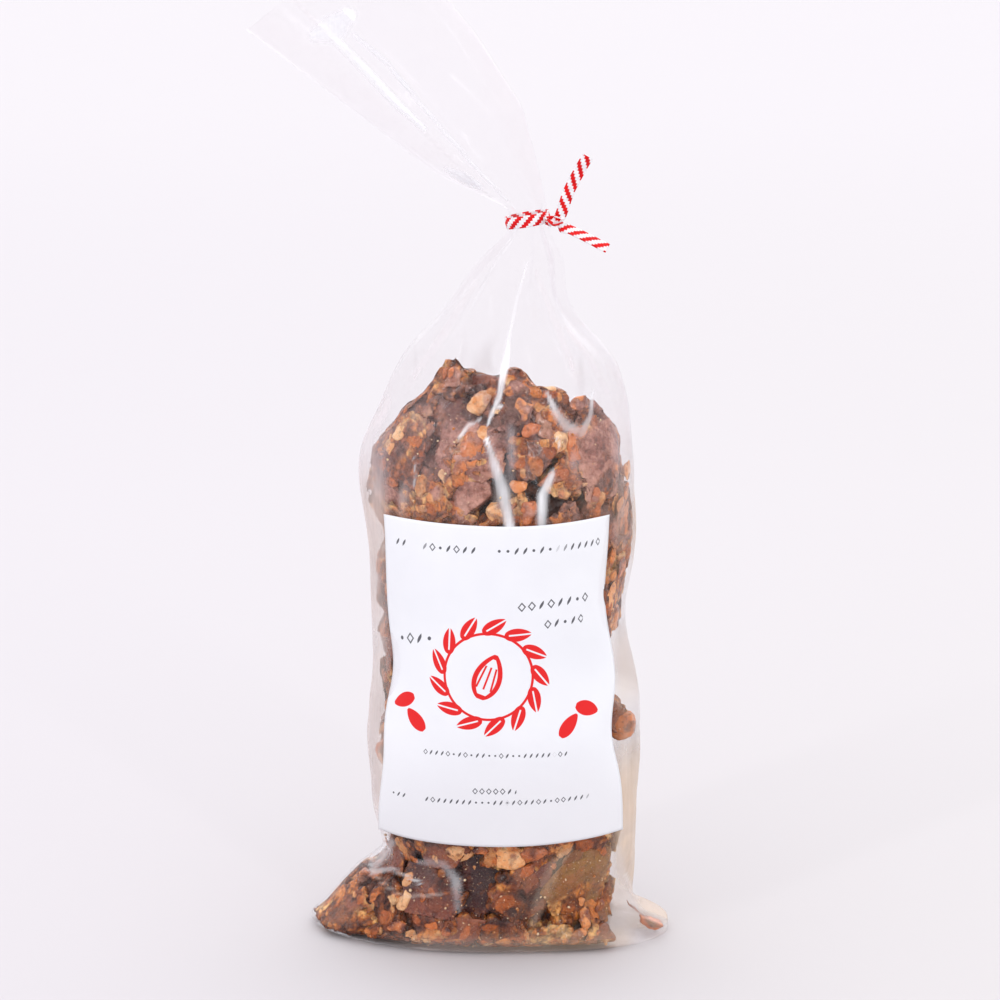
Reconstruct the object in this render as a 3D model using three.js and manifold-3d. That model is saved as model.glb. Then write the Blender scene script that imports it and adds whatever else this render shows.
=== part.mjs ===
// A clear film bag of almond brittle, gathered at the neck by a twist tie, with a paper label on its front.
// Millimetres, +Z up. The front faces -Y. The origin is on the ground, under the middle of the filled body.
import * as THREE from "three";
import { mergeVertices } from "three/addons/utils/BufferGeometryUtils.js";
import Module from "manifold-3d";

const wasm = await Module();
wasm.setup();

// ---------------------------------------------------------------- driving dimensions

// The bag's outline, station by station from the ground to the mouth. At each station the film crosses
// from a left edge to a right edge, each given as x and z, and stands a depth out to the front and back.
// A side's wedge of 1 is an oval end. A higher one draws that side out to a flat corner, a lower one blunts it.
const STATIONS = [
  // left x, left z, right x, right z, depth, left wedge, right wedge
  [-62, 0, 55, 0, 28, 1.1, 0.5], // where the bottom meets the ground
  [-68, 2.5, 60.5, 3, 31, 1.15, 0.4], // bottom seam, with its two corners
  [-62.5, 8.5, 50, 7, 32, 1.2, 0.6],
  [-57.5, 15, 45.8, 11, 32, 1.2, 0.85],
  [-50, 22.5, 46.3, 20, 32.5, 1.1, 0.95],
  [-40.5, 28, 47.8, 29, 32.5, 0.85, 0.85], // crease over the left corner
  [-45, 50, 48, 50, 33, 0.85, 0.85],
  [-46, 75, 49, 75, 34, 0.95, 0.95],
  [-43.4, 111, 43.8, 111, 34, 1.1, 1.1], // waist
  [-46.8, 150, 46.3, 150, 35.5, 1.3, 1.3],
  [-47.3, 173, 45, 175, 33.5, 1.2, 1.2], // shoulder
  [-41.5, 186, 43.8, 187, 30, 1.1, 1.1],
  [-34, 203, 38.2, 203, 24, 1, 1],
  [-20.5, 218, 25, 218, 16.5, 1, 1],
  [-14, 227, 22.3, 226, 12.5, 1, 1],
  [-7.3, 236, 21.2, 236, 9.5, 1, 1],
  [2.6, 245, 15.7, 245.4, 5, 1, 1], // neck, under the tie
  [2.6, 252.4, 15.7, 253, 5, 1, 1], // neck, over the tie
  [-21.2, 264, 11.8, 270, 9, 1, 1],
  [-38, 277, 7.6, 286, 11, 1, 1],
  [-60, 293, -8, 309, 12, 1, 1],
  [-83.4, 310.6, -38.9, 345.8, 10, 1, 1], // open mouth
];

const BODY_STATIONS = 16; // below the neck
const NECK = { x: 9.15, z: 248.7, halfWidth: 6.55, halfDepth: 5 };

const BASE_TURN = 0.1; // the bottom seam's right corner stands this share of its reach further forward
const BASE_TURN_FADES = 45; // height where the body faces straight on again

const RING_STEP = 6.4; // along the film, between rings of the mesh
const SECTORS = 56; // round the film
const MOUTH_RECESS = 14; // how far the mouth opens inwards

const PLEATS = 9; // gathers that run into the tie
const PLEAT_DEPTH_AT_NECK = 0.2; // share of the section
const PLEAT_DEPTH_AT_MOUTH = 0.12;

// Brittle pieces that press the film out. They climb a spiral, so that they spread evenly all round.
const PIECES = 30;
const PIECE_LOW = 10;
const PIECE_HIGH = 188;
const PIECE_SPREAD = 21; // from a piece's middle to where its push has faded
const PIECE_PUSH = 2.6;
const GOLDEN_ANGLE = Math.PI * (3 - Math.sqrt(5));

const LABEL = { width: 86, height: 111.5, thickness: 0.5, gap: 0.5, x: -0.5, middle: 96.6 };
const LABEL_CALM = 0.3; // share of the relief that is left under the stiff paper

const TIE = { width: 3.8, thickness: 0.7, clearance: 0.4, tilt: THREE.MathUtils.degToRad(10) };
const TIE_KNOT = [
  [14.9, -4.5, 249.3],
  [18, -5.8, 248.6],
  [20.6, -6, 247],
];
const TIE_UPPER_TAIL = [
  [19.1, -6, 247.6],
  [20.6, -6.3, 252.5],
  [23, -6.6, 259.6],
  [28.7, -7, 270.3],
];
const TIE_LOWER_TAIL = [
  [18.6, -6, 247.6],
  [24.8, -6.8, 245.4],
  [35.5, -8.2, 240.1],
];

// ---------------------------------------------------------------- the film's form

const along = (pick) =>
  new THREE.CatmullRomCurve3(STATIONS.map((row) => new THREE.Vector3(...pick(row))), false, "centripetal");
const leftEdge = along(([x, z]) => [x, 0, z]);
const rightEdge = along(([, , x, z]) => [x, 0, z]);
const fullness = along(([, , , , depth, leftWedge, rightWedge]) => [depth, leftWedge, rightWedge]);

const LAST = STATIONS.length - 1;
const smooth = (low, high, value) => THREE.MathUtils.smoothstep(value, low, high);

// The section at a station number, which may lie between two stations.
function sectionAt(station) {
  const share = THREE.MathUtils.clamp(station / LAST, 0, 1);
  const left = leftEdge.getPoint(share);
  const right = rightEdge.getPoint(share);
  const { x: depth, y: leftWedge, z: rightWedge } = fullness.getPoint(share);
  return { left, right, depth, leftWedge, rightWedge };
}

// How deep the gathers are at a station: none on the full body, most at the neck, fewer at the mouth.
function pleatDepth(station) {
  if (station <= BODY_STATIONS) return PLEAT_DEPTH_AT_NECK * smooth(11, BODY_STATIONS, station);
  const share = smooth(BODY_STATIONS + 1, LAST, station);
  return THREE.MathUtils.lerp(PLEAT_DEPTH_AT_NECK, PLEAT_DEPTH_AT_MOUTH, share);
}

// How much of the brittle's relief shows at a place: calm under the label, none at the ground or above the fill.
function reliefShare(angle, z) {
  const across = Math.abs(Math.cos(angle));
  const underLabel =
    Math.sin(angle) < 0
      ? (1 - smooth(0.8, 0.98, across)) *
        smooth(-8, 4, z - (LABEL.middle - LABEL.height / 2)) *
        smooth(-8, 4, LABEL.middle + LABEL.height / 2 - z)
      : 0;
  const fill = smooth(3, 14, z) * (1 - smooth(185, 202, z));
  return fill * THREE.MathUtils.lerp(1, LABEL_CALM, underLabel);
}

// The push of the brittle pieces behind the film. Where two pieces meet the film creases.
function relief(angle, x, y, z) {
  const share = reliefShare(angle, z);
  if (share === 0) return 0;
  let push = 0;
  for (let i = 0; i < PIECES; i++) {
    const turn = i * GOLDEN_ANGLE;
    const height = PIECE_LOW + ((PIECE_HIGH - PIECE_LOW) * (i + 0.5)) / PIECES;
    const away = Math.hypot(x - 46 * Math.cos(turn), y - 33 * Math.sin(turn), z - height);
    push = Math.max(push, PIECE_PUSH * (1 - smooth(0.25, 1, away / PIECE_SPREAD)));
  }
  return share * (push - PIECE_PUSH / 2);
}

// The film's point at a station and an angle. Angle 0 is the right edge, and a quarter turn back is the front.
function filmPoint(station, angle) {
  const { left, right, depth, leftWedge, rightWedge } = sectionAt(station);
  const middle = left.clone().add(right).multiplyScalar(0.5);
  const half = right.clone().sub(left).multiplyScalar(0.5);
  const sine = Math.sin(angle);
  const backCorner = Math.max(rightWedge, 1.1);
  const rightCorner = sine < 0 ? rightWedge : backCorner;
  const wedge = Math.cos(angle) < 0 ? leftWedge : rightCorner;
  const pleats = pleatDepth(station);
  const gather = 1 - pleats + pleats * Math.cos(PLEATS * angle);
  const out = Math.sign(sine) * Math.abs(sine) ** wedge * depth * gather;
  const point = middle.addScaledVector(half, Math.cos(angle) * gather);
  point.y = out - BASE_TURN * (point.x - middle.x) * (1 - smooth(0, BASE_TURN_FADES, point.z));
  if (station < BODY_STATIONS) {
    const push = relief(angle, point.x, point.y, point.z);
    point.x += push * Math.cos(angle) * 0.6;
    point.y += push * sine;
  }
  return point;
}

// ---------------------------------------------------------------- helpers on meshes

function closed(geometry) {
  const bare = geometry.clone();
  bare.deleteAttribute("normal");
  bare.deleteAttribute("uv");
  return mergeVertices(bare, 1e-4);
}

function warped(geometry, move) {
  const position = geometry.getAttribute("position");
  const vertex = new THREE.Vector3();
  for (let i = 0; i < position.count; i++) {
    vertex.fromBufferAttribute(position, i);
    position.setXYZ(i, ...move(vertex).toArray());
  }
  geometry.computeVertexNormals();
  return geometry;
}

function toManifold(geometry) {
  const { index, attributes } = closed(geometry);
  return new wasm.Manifold(
    new wasm.Mesh({
      numProp: 3,
      vertProperties: attributes.position.array,
      triVerts: new Uint32Array(index.array),
    }),
  );
}

function fromManifold(solid) {
  const { vertProperties, triVerts } = solid.getMesh();
  const geometry = new THREE.BufferGeometry();
  geometry.setAttribute("position", new THREE.BufferAttribute(vertProperties, 3));
  geometry.setIndex(new THREE.BufferAttribute(triVerts, 1));
  geometry.computeVertexNormals();
  return geometry;
}

function named(name, geometry, material) {
  const mesh = new THREE.Mesh(geometry, material);
  mesh.name = name;
  return mesh;
}

// ---------------------------------------------------------------- bag

// Station numbers of the mesh's rings, evenly spaced along the film.
function ringStations() {
  const rings = [0];
  for (let i = 0; i < LAST; i++) {
    const from = sectionAt(i);
    const to = sectionAt(i + 1);
    const run = Math.max(from.left.distanceTo(to.left), from.right.distanceTo(to.right));
    const steps = Math.max(1, Math.round(run / RING_STEP));
    for (let k = 1; k <= steps; k++) rings.push(i + k / steps);
  }
  return rings;
}

// A closed cylinder with a ring for each station, drawn out to the film's form.
function bagGeometry() {
  const rings = ringStations();
  const tube = closed(new THREE.CylinderGeometry(1, 1, rings.length - 1, SECTORS, rings.length - 1));
  const floor = new THREE.Vector3(0, 0, 0);
  const { left, right } = sectionAt(LAST);
  const inwards = new THREE.Vector3(1, 0, -1).normalize();
  const recess = left.clone().add(right).multiplyScalar(0.5).addScaledVector(inwards, MOUTH_RECESS);
  return warped(tube, ({ x, y, z }) => {
    const ring = Math.round(y + (rings.length - 1) / 2);
    const onAxis = Math.hypot(x, z) < 0.5;
    if (onAxis) return ring === 0 ? floor : recess;
    return filmPoint(rings[ring], Math.atan2(-z, x));
  });
}

// ---------------------------------------------------------------- label

function stationAtHeight(z) {
  let low = 0;
  let high = BODY_STATIONS;
  for (let i = 0; i < 30; i++) {
    const middle = (low + high) / 2;
    if (sectionAt(middle).left.z < z) low = middle;
    else high = middle;
  }
  return low;
}

// The angle that lies an arc's length along the film from the label's upright middle line.
function angleAtArc(station, arc) {
  const { left, right } = sectionAt(station);
  const half = (right.x - left.x) / 2;
  const step = 0.01 * Math.sign(arc);
  let angle = -Math.acos((LABEL.x - left.x - half) / half);
  let from = filmPoint(station, angle);
  for (let run = 0; run < Math.abs(arc); ) {
    angle += step;
    const to = filmPoint(station, angle);
    run += from.distanceTo(to);
    from = to;
  }
  return angle;
}

function outwards(station, angle) {
  const reach = 0.03;
  const around = filmPoint(station, angle + reach).sub(filmPoint(station, angle - reach));
  const upwards = filmPoint(station + reach, angle).sub(filmPoint(station - reach, angle));
  return around.cross(upwards).normalize();
}

// A flat sheet of paper, bent round the front of the film.
function labelGeometry() {
  const { width, height, thickness, gap, middle } = LABEL;
  const sheet = new THREE.BoxGeometry(width, thickness, height, 18, 1, 20);
  return warped(closed(sheet), ({ x, y, z }) => {
    const station = stationAtHeight(middle + z);
    const angle = angleAtArc(station, x);
    const lift = gap + thickness / 2 - y;
    return filmPoint(station, angle).addScaledVector(outwards(station, angle), lift);
  });
}

// ---------------------------------------------------------------- twist tie

// A flat strip along a curve. Its width turns from one roll to another about the curve, in radians,
// where roll 0 lays its face towards the front.
function strip(points, fromRoll, toRoll, width, thickness) {
  const curve = new THREE.CatmullRomCurve3(points.map((p) => new THREE.Vector3(...p)));
  const length = curve.getLength();
  const steps = Math.ceil(length / 1.4);
  const bar = closed(new THREE.BoxGeometry(width, thickness, length, 2, 1, steps));
  const depthwards = new THREE.Vector3(0, 1, 0);
  return warped(bar, ({ x, y, z }) => {
    const share = THREE.MathUtils.clamp(z / length + 0.5, 0, 1);
    const tangent = curve.getTangentAt(share);
    const roll = THREE.MathUtils.lerp(fromRoll, toRoll, share);
    const across = depthwards.clone().cross(tangent).normalize().applyAxisAngle(tangent, roll);
    const through = tangent.clone().cross(across);
    return curve.getPointAt(share).addScaledVector(across, x).addScaledVector(through, y);
  });
}

// The closed band round the neck.
function bandGeometry() {
  const { halfWidth, halfDepth } = NECK;
  const { width, thickness, clearance } = TIE;
  const ellipse = (Kind, extra) =>
    new Kind().absellipse(0, 0, halfWidth + clearance + extra, halfDepth + clearance + extra, 0, 2 * Math.PI);
  const outline = ellipse(THREE.Shape, thickness);
  outline.holes.push(ellipse(THREE.Path, 0));
  const band = new THREE.ExtrudeGeometry(outline, { depth: width, bevelEnabled: false, curveSegments: 30 });
  band.translate(0, 0, -width / 2);
  band.rotateY(-TIE.tilt);
  band.translate(NECK.x, 0, NECK.z);
  return band;
}

// The band, the two strands wound round each other beside it, and the two free tails, all one strip of tie.
function tieGeometry() {
  const { width, thickness } = TIE;
  const knot = strip(TIE_KNOT, 0.3, 0.3 + 1.5 * Math.PI, width * 0.6, thickness * 2.4);
  const upper = strip(TIE_UPPER_TAIL, 0.5, 0, width, thickness);
  const lower = strip(TIE_LOWER_TAIL, -0.4, -1.0, width, thickness);
  const joined = [knot, upper, lower].reduce(
    (solid, piece) => solid.add(toManifold(piece)),
    toManifold(bandGeometry()),
  );
  return fromManifold(joined);
}

// ---------------------------------------------------------------- the object

const brittleInFilm = new THREE.MeshStandardMaterial({ color: 0x9a6a4c, roughness: 0.35, metalness: 0 });
const whitePaper = new THREE.MeshStandardMaterial({ color: 0xf4f4f8, roughness: 0.5, metalness: 0 });
const redAndWhiteTie = new THREE.MeshStandardMaterial({ color: 0xe8433f, roughness: 0.6, metalness: 0 });

const bagOfBrittle = new THREE.Group();
bagOfBrittle.add(
  named("bag", bagGeometry(), brittleInFilm),
  named("label", labelGeometry(), whitePaper),
  named("twist_tie", tieGeometry(), redAndWhiteTie),
);

export default bagOfBrittle;
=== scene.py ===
# %% [markdown]
# # A bag of almond brittle
# A flat clear bag is filled with broken brittle, stood on its filled end, and gathered at the neck by a
# striped paper tie. A paper label is stuck on its front.
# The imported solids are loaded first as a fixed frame. They say where everything is, and the pieces made
# below take their places.

import math
import random

import bmesh
import bpy
import numpy as np
from mathutils import Euler, Matrix, Vector
from mathutils.bvhtree import BVHTree


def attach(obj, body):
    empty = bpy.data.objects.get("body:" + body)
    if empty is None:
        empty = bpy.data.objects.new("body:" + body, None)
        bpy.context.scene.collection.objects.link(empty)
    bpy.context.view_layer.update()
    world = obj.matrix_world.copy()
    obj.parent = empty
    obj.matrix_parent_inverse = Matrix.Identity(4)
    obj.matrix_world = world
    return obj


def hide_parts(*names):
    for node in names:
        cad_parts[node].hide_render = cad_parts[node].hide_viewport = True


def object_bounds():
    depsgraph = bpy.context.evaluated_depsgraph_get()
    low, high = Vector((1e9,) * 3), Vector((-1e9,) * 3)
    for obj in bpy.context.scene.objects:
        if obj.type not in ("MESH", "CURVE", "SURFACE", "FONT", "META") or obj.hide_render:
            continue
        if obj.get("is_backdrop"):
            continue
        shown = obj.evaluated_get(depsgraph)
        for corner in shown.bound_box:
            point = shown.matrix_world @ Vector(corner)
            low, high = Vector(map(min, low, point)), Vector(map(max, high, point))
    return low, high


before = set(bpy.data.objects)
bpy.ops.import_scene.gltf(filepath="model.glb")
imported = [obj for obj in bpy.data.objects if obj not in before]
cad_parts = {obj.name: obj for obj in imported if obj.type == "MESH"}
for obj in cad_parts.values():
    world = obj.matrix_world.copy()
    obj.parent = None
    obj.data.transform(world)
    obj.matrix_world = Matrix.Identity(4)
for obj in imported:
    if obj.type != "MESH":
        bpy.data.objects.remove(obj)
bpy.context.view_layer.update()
MM = 0.001

# %% [markdown]
# ## Small helpers
# Four short jobs come back in nearly every cell, so each is written once here.

# %% Small helpers


def in_scene(name, data):
    """A new object of the scene that shows this mesh, light or camera."""
    made = bpy.data.objects.new(name, data)
    bpy.context.scene.collection.objects.link(made)
    return made


def mesh_from(bm, name):
    """The mesh that a bmesh describes."""
    mesh = bpy.data.meshes.new(name)
    bm.to_mesh(mesh)
    bm.free()
    return mesh


def run_along(points):
    """How far along a line each of its points lies."""
    return np.concatenate([[0], np.cumsum(np.linalg.norm(np.diff(points, axis=0), axis=1))])


def read_off(at, run, rows):
    """The rows of a table, read off between its own stops along the run."""
    return np.stack([np.interp(at, run, column) for column in np.transpose(rows)], axis=1)


print("half way along a line of 2 and 4:", read_off([1], [0, 2], [[2], [4]])[0, 0])

# %% [markdown]
# ## Camera
# The bag is seen a little from above, through a long lens, so that its sides stay nearly upright.
# The camera is placed first, because it decides which sides need the most care.

# %% Camera
CAMERA_PLACE = Vector((0, -0.9, 0.363))
CAMERA_TARGET = Vector((0, 0, 0.153))
LENS_MM = 97.85

lens = bpy.data.cameras.new("camera")
lens.lens = LENS_MM
lens.clip_end = 100
camera = in_scene("camera", lens)
sight = CAMERA_TARGET - CAMERA_PLACE
camera.location = CAMERA_PLACE
camera.rotation_euler = sight.to_track_quat("-Z", "Y").to_euler()
bpy.context.scene.camera = camera
print("camera looks down by", round(math.degrees(math.atan2(-sight.z, sight.y)), 1), "degrees")

# %% [markdown]
# ## Numbers and colours in a shader
# A shader is arithmetic on numbers that change over a surface. Wiring each sum by hand is slow to read, so
# a small class wraps a socket: an expression in Python adds the Math nodes that work it out. Colours are
# given as they look on a screen, and turned into amounts of light.

# %% Numbers and colours in a shader


def rgb(red, green, blue):
    """A colour given as it looks on a screen, 0 to 255, for a shader."""

    def linear(value):
        value /= 255
        return value / 12.92 if value <= 0.04045 else ((value + 0.055) / 1.055) ** 2.4

    return (linear(red), linear(green), linear(blue), 1.0)


class Value:
    """A number in a shader. Sums written with it become Math nodes."""

    def __init__(self, shader, socket):
        self.shader = shader
        self.socket = socket

    def math(self, operation, *others, **settings):
        """This value and others, put through one Math node."""
        return self.shader.node("ShaderNodeMath", [self, *others], operation=operation, **settings)[0]

    def __add__(self, other):
        return self.math("ADD", other)

    def __sub__(self, other):
        return self.math("SUBTRACT", other)

    def __mul__(self, other):
        return self.math("MULTIPLY", other)

    def __truediv__(self, other):
        return self.math("DIVIDE", other)

    def __pow__(self, other):
        return self.math("POWER", other)

    def __rsub__(self, other):
        return self.shader.node("ShaderNodeMath", [other, self], operation="SUBTRACT")[0]

    def __neg__(self):
        return self.math("MULTIPLY", -1)

    def __abs__(self):
        return self.math("ABSOLUTE")

    __radd__ = __add__
    __rmul__ = __mul__

    def ramp(self, low, high, out_low=0.0, out_high=1.0):
        """Rises smoothly from out_low to out_high while this value goes from low to high."""
        settings = {"interpolation_type": "SMOOTHSTEP"}
        return self.shader.node("ShaderNodeMapRange", [self, low, high, out_low, out_high], **settings)[0]


print("half grey on a screen is", round(rgb(128, 128, 128)[0], 2), "of white's light")

# %% [markdown]
# ## A shader's nodes
# The second class holds a material's nodes. Its method node adds any node, with settings and inputs, and the
# others are short names for the nodes that come back most.

# %% A shader's nodes


class Shader:
    """A material, or the world, and the nodes in it."""

    def __init__(self, owner):
        self.owner = owner
        owner.use_nodes = True
        self.tree = owner.node_tree
        self.tree.nodes.clear()

    def node(self, kind, inputs=(), **settings):
        """Adds a node with these settings and inputs, and returns its outputs by number or by name."""
        made = self.tree.nodes.new(kind)
        for name, value in settings.items():
            setattr(made, name, value)
        pairs = inputs.items() if isinstance(inputs, dict) else enumerate(inputs)
        for name, value in pairs:
            socket = made.inputs[name]
            if isinstance(value, Value):
                value = value.socket
            if isinstance(value, bpy.types.NodeSocket):
                self.tree.links.new(value, socket)
            else:
                socket.default_value = value
        return Outputs(self, made)

    def attribute(self, name):
        """A number that the mesh stores on its points."""
        return self.node("ShaderNodeAttribute", attribute_name=name)["Fac"]

    def place(self):
        """Where on the object a point lies, in metres."""
        return self.node("ShaderNodeTexCoord")["Object"]

    def noise(self, scale, detail=3.0, roughness=0.5, vector=None):
        """Smooth random values round 0.5. The larger the scale, the finer they are."""
        inputs = {"Vector": vector or self.place(), "Scale": scale, "Detail": detail, "Roughness": roughness}
        return self.node("ShaderNodeTexNoise", inputs)["Fac"]

    def colours(self, value, stops):
        """Runs through colours while the value rises. Each stop is a value and its colour on a screen."""
        outputs = self.node("ShaderNodeValToRGB", [value])
        elements = outputs.made.color_ramp.elements
        while len(elements) < len(stops):
            elements.new(1)
        for element, (position, colour) in zip(elements, stops):
            element.position = position
            element.color = rgb(*colour)
        return outputs[0]

    def blend(self, share, first, second):
        """A surface that behaves partly like one shader and partly like another."""
        return self.node("ShaderNodeMixShader", [share, first, second])[0]

    def mix(self, share, first, second):
        """Part of the way from the first colour to the second."""
        inputs = {0: share, 6: first, 7: second}
        return self.node("ShaderNodeMix", inputs, data_type="RGBA", clamp_factor=True)[2]

    def bump(self, height, distance, strength=1.0):
        """Relief that only the light sees."""
        inputs = {"Height": height, "Distance": distance, "Strength": strength}
        return self.node("ShaderNodeBump", inputs)["Normal"]

    def principled(self, **inputs):
        """A surface with colour, roughness and so on. Each input is named in small letters."""
        named = {name.replace("_", " ").title().replace("Ior", "IOR"): inputs[name] for name in inputs}
        return self.node("ShaderNodeBsdfPrincipled", named)["BSDF"]

    def solid(self, **inputs):
        """The finished material of a surface that is the same kind all over."""
        return self.finish(self.principled(**inputs))

    def finish(self, surface, output="ShaderNodeOutputMaterial"):
        """Gives the surface to the output, and returns the material."""
        self.node(output, {"Surface": surface})
        return self.owner


def material(name):
    """The shader of a new material."""
    return Shader(bpy.data.materials.new(name))


class Outputs:
    """A node's outputs, by number or by name."""

    def __init__(self, shader, made):
        self.shader = shader
        self.made = made

    def __getitem__(self, name):
        return Value(self.shader, self.made.outputs[name])


sample = material("sample")
doubled = (1 - sample.noise(10)) * 2
print("two steps of arithmetic on a noise take", len(sample.tree.nodes), "nodes")
bpy.data.materials.remove(sample.owner)

# %% [markdown]
# ## Random bumps
# Broken sugar is rough at every size. A repeatable kind of roughness comes from random values on a cubic
# lattice, blended smoothly between its corners. Layers of it at smaller and smaller sizes make it crumbly.
# It is worked out for whole meshes at once, which is much faster than vertex by vertex.

# %% Random bumps


def scatter(spot, seed):
    """A random value from 0 to 1 for each corner of a lattice."""
    mixed = spot[:, 0] * 374761393 + spot[:, 1] * 668265263 + spot[:, 2] * 1442695041 + seed * 2246822519
    mixed = mixed & 0xFFFFFFFF
    mixed = ((mixed ^ (mixed >> 13)) * 1274126177) & 0xFFFFFFFF
    return ((mixed ^ (mixed >> 16)) & 0xFFFF) / 65535


def bumps(points, width, seed=0):
    """Smooth random values from -1 to 1, with bumps about this width apart."""
    place = np.asarray(points, float) / width + 31.7 * (seed + 1)
    cell = np.floor(place).astype(np.int64)
    part = place - cell
    part = part * part * (3 - 2 * part)
    total = np.zeros(len(place))
    for corner in np.ndindex(2, 2, 2):
        value = 2 * scatter(cell + corner, seed) - 1
        total += value * np.prod(np.where(corner, part, 1 - part), axis=1)
    return total


def chips(points, width, seed=0):
    """Divides space into angular chips of about this width, as broken sugar and chopped nuts divide it.

    Gives for each point how far it is from its chip's edge, a random value that its chip has, and how high
    the slanted face of its chip stands there.
    """
    place = np.asarray(points, float) / width + 17.3 * (seed + 1)
    cell = np.floor(place).astype(np.int64)
    nearest = np.full(len(place), 9.0)
    second = np.full(len(place), 9.0)
    value = np.zeros(len(place))
    slant = np.zeros(len(place))
    for corner in np.ndindex(3, 3, 3):
        spot = cell + corner - 1
        shift = np.stack([scatter(spot, seed + k) for k in (1, 2, 3)], axis=1)
        away = place - spot - shift
        distance = np.sqrt((away**2).sum(axis=1))
        closer = distance < nearest
        second = np.where(closer, nearest, np.minimum(second, distance))
        nearest = np.minimum(nearest, distance)
        value = np.where(closer, scatter(spot, seed + 4), value)
        slant = np.where(closer, 2 * (away * (shift - 0.5)).sum(axis=1), slant)
    return second - nearest, value, slant


def layered(points, width, layers, seed=0):
    """Bumps with finer bumps on them."""
    return sum(bumps(points, width / 2**k, seed + 7 * k) / 2**k for k in range(layers))


def step(low, high, value):
    """0 below low, 1 above high and a smooth rise between."""
    share = np.clip((value - low) / (high - low), 0, 1)
    return share * share * (3 - 2 * share)


def band(rise, fall, value):
    """Goes from 0 to 1 over the first pair of values, and back to 0 over the second."""
    return step(*rise, value) * (1 - step(*fall, value))


print("bumps run from", bumps(np.random.default_rng(1).normal(size=(999, 3)), 0.5).min().round(2))

# %% [markdown]
# ## Inside the bag
# Everything in the bag has to stay inside the solid that stands for it. A tree of the solid's faces finds
# the nearest one to any point fast, and its outward normal says on which side the point is.

# %% Inside the bag
bag_tree = BVHTree.FromObject(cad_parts["bag"], bpy.context.evaluated_depsgraph_get())
FILM_GAP = 0.9 * MM
BAG_MIDDLE_X = 1 * MM
WIDER_THAN_DEEP = 1.35


def press_inside(points, gap=FILM_GAP, give=0.8 * MM):
    """Moves points that would poke through the film back inside, keeping a little of their relief.

    Gives the points and how deep behind the film each one lies.
    """
    pressed = np.array(points, float)
    depths = np.zeros(len(pressed))
    for i, point in enumerate(pressed):
        spot, normal, _, away = bag_tree.find_nearest(Vector(point))
        depth = math.copysign(away, (spot - Vector(point)).dot(normal))
        room = depth - gap
        if room < 4 * give:
            kept = give * math.log1p(math.exp(room / give))
            pressed[i] = np.array(spot - normal * (gap + kept))
        depths[i] = depth
    return pressed, depths


def wall_at(angle, height):
    """The solid's skin and its outward normal at a height, in a direction round the bag's middle."""
    centre = Vector((BAG_MIDDLE_X, 0, height))
    along = Vector((math.cos(angle) * WIDER_THAN_DEEP, math.sin(angle), 0)).normalized()
    spot, normal, _, _ = bag_tree.ray_cast(centre, along)
    return spot, normal


print("skin at the front of the waist:", wall_at(-math.pi / 2, 0.11)[0][:])

# %% [markdown]
# ## A broken slab and its nuts
# Brittle is poured as a slab of boiled sugar full of chopped nuts, and broken when it is hard. So a piece
# starts as a cube flattened to a slab, and planes bisect it where it broke. The last two planes slant its
# top and bottom. Nuts are small balls set into it, each knocked flat on four sides.

# %% A broken slab and its nuts


def broken_slab(rng, length, width, thick):
    """A slab with broken sides, and the planes that it broke along."""
    bm = bmesh.new()
    bmesh.ops.create_cube(bm, size=1)
    bmesh.ops.scale(bm, vec=(1.3 * length, 1.3 * width, thick), verts=bm.verts)
    breaks = rng.randint(5, 7)
    planes = []
    for i in range(breaks):
        turn = 2 * math.pi * (i + rng.uniform(-0.35, 0.35)) / breaks
        out = Vector((math.cos(turn), math.sin(turn), rng.uniform(-0.5, 0.5))).normalized()
        reach = math.hypot(length * out.x, width * out.y) / 2 * rng.uniform(0.7, 1)
        planes.append((out, reach))
    for _ in range(2):
        out = Vector((rng.uniform(-0.5, 0.5), rng.uniform(-0.5, 0.5), rng.choice((-1, 1)))).normalized()
        planes.append((out, thick / 2 * rng.uniform(0.85, 1.15)))
    for out, reach in planes:
        everything = bm.verts[:] + bm.edges[:] + bm.faces[:]
        cut = bmesh.ops.bisect_plane(
            bm, geom=everything, plane_co=out * reach, plane_no=out, clear_outer=True
        )
        rim = [part for part in cut["geom_cut"] if isinstance(part, bmesh.types.BMEdge)]
        if rim:
            bmesh.ops.edgenet_fill(bm, edges=rim)
    return bm, planes


def add_chip(bm, rng, at, turn, halves):
    """Adds a ball knocked into a chip, and gives the flat faces it was knocked to."""
    made = bmesh.ops.create_icosphere(bm, subdivisions=2, radius=1)["verts"]
    faces = []
    for _ in range(4):
        out = Vector([rng.gauss(0, 1) for _ in range(3)]).normalized()
        faces.append((out, rng.uniform(0.45, 0.9)))
    for vertex in made:
        for out, reach in faces:
            vertex.co -= out * max(0, vertex.co.dot(out) - reach)
    bmesh.ops.transform(bm, matrix=Matrix.LocRotScale(at, turn, halves), verts=made)
    return faces


def add_nuts(bm, rng, planes, length, width, thick, count, size, rim):
    """Sets chopped nuts into the slab's skin. With rim near 1 they all lie towards its rim."""
    nuts = []
    while len(nuts) < count:
        side = rng.choice((-1, 1, 1))
        turn, out = rng.uniform(0, math.tau), rng.uniform(rim, 1) ** 0.5
        at = Vector((math.cos(turn) * out * length, math.sin(turn) * out * width, 0)) / 2
        at.z = side * thick * rng.uniform(0.36, 0.54)
        if any(at.dot(out) > reach + 0.5 * MM for out, reach in planes[:-2]):
            at *= 0.85
            if any(at.dot(out) > reach for out, reach in planes[:-2]):
                continue
        half = size * rng.choice((0.5, 0.65, 0.8, 1, 1.25))
        halves = Vector((half, half * rng.uniform(0.5, 0.8), half * rng.uniform(0.45, 0.7)))
        turn = Euler([rng.uniform(0, math.tau) for _ in range(3)]).to_quaternion()
        nuts.append((at, turn, halves, add_chip(bm, rng, at, turn, halves)))
    return nuts


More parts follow.
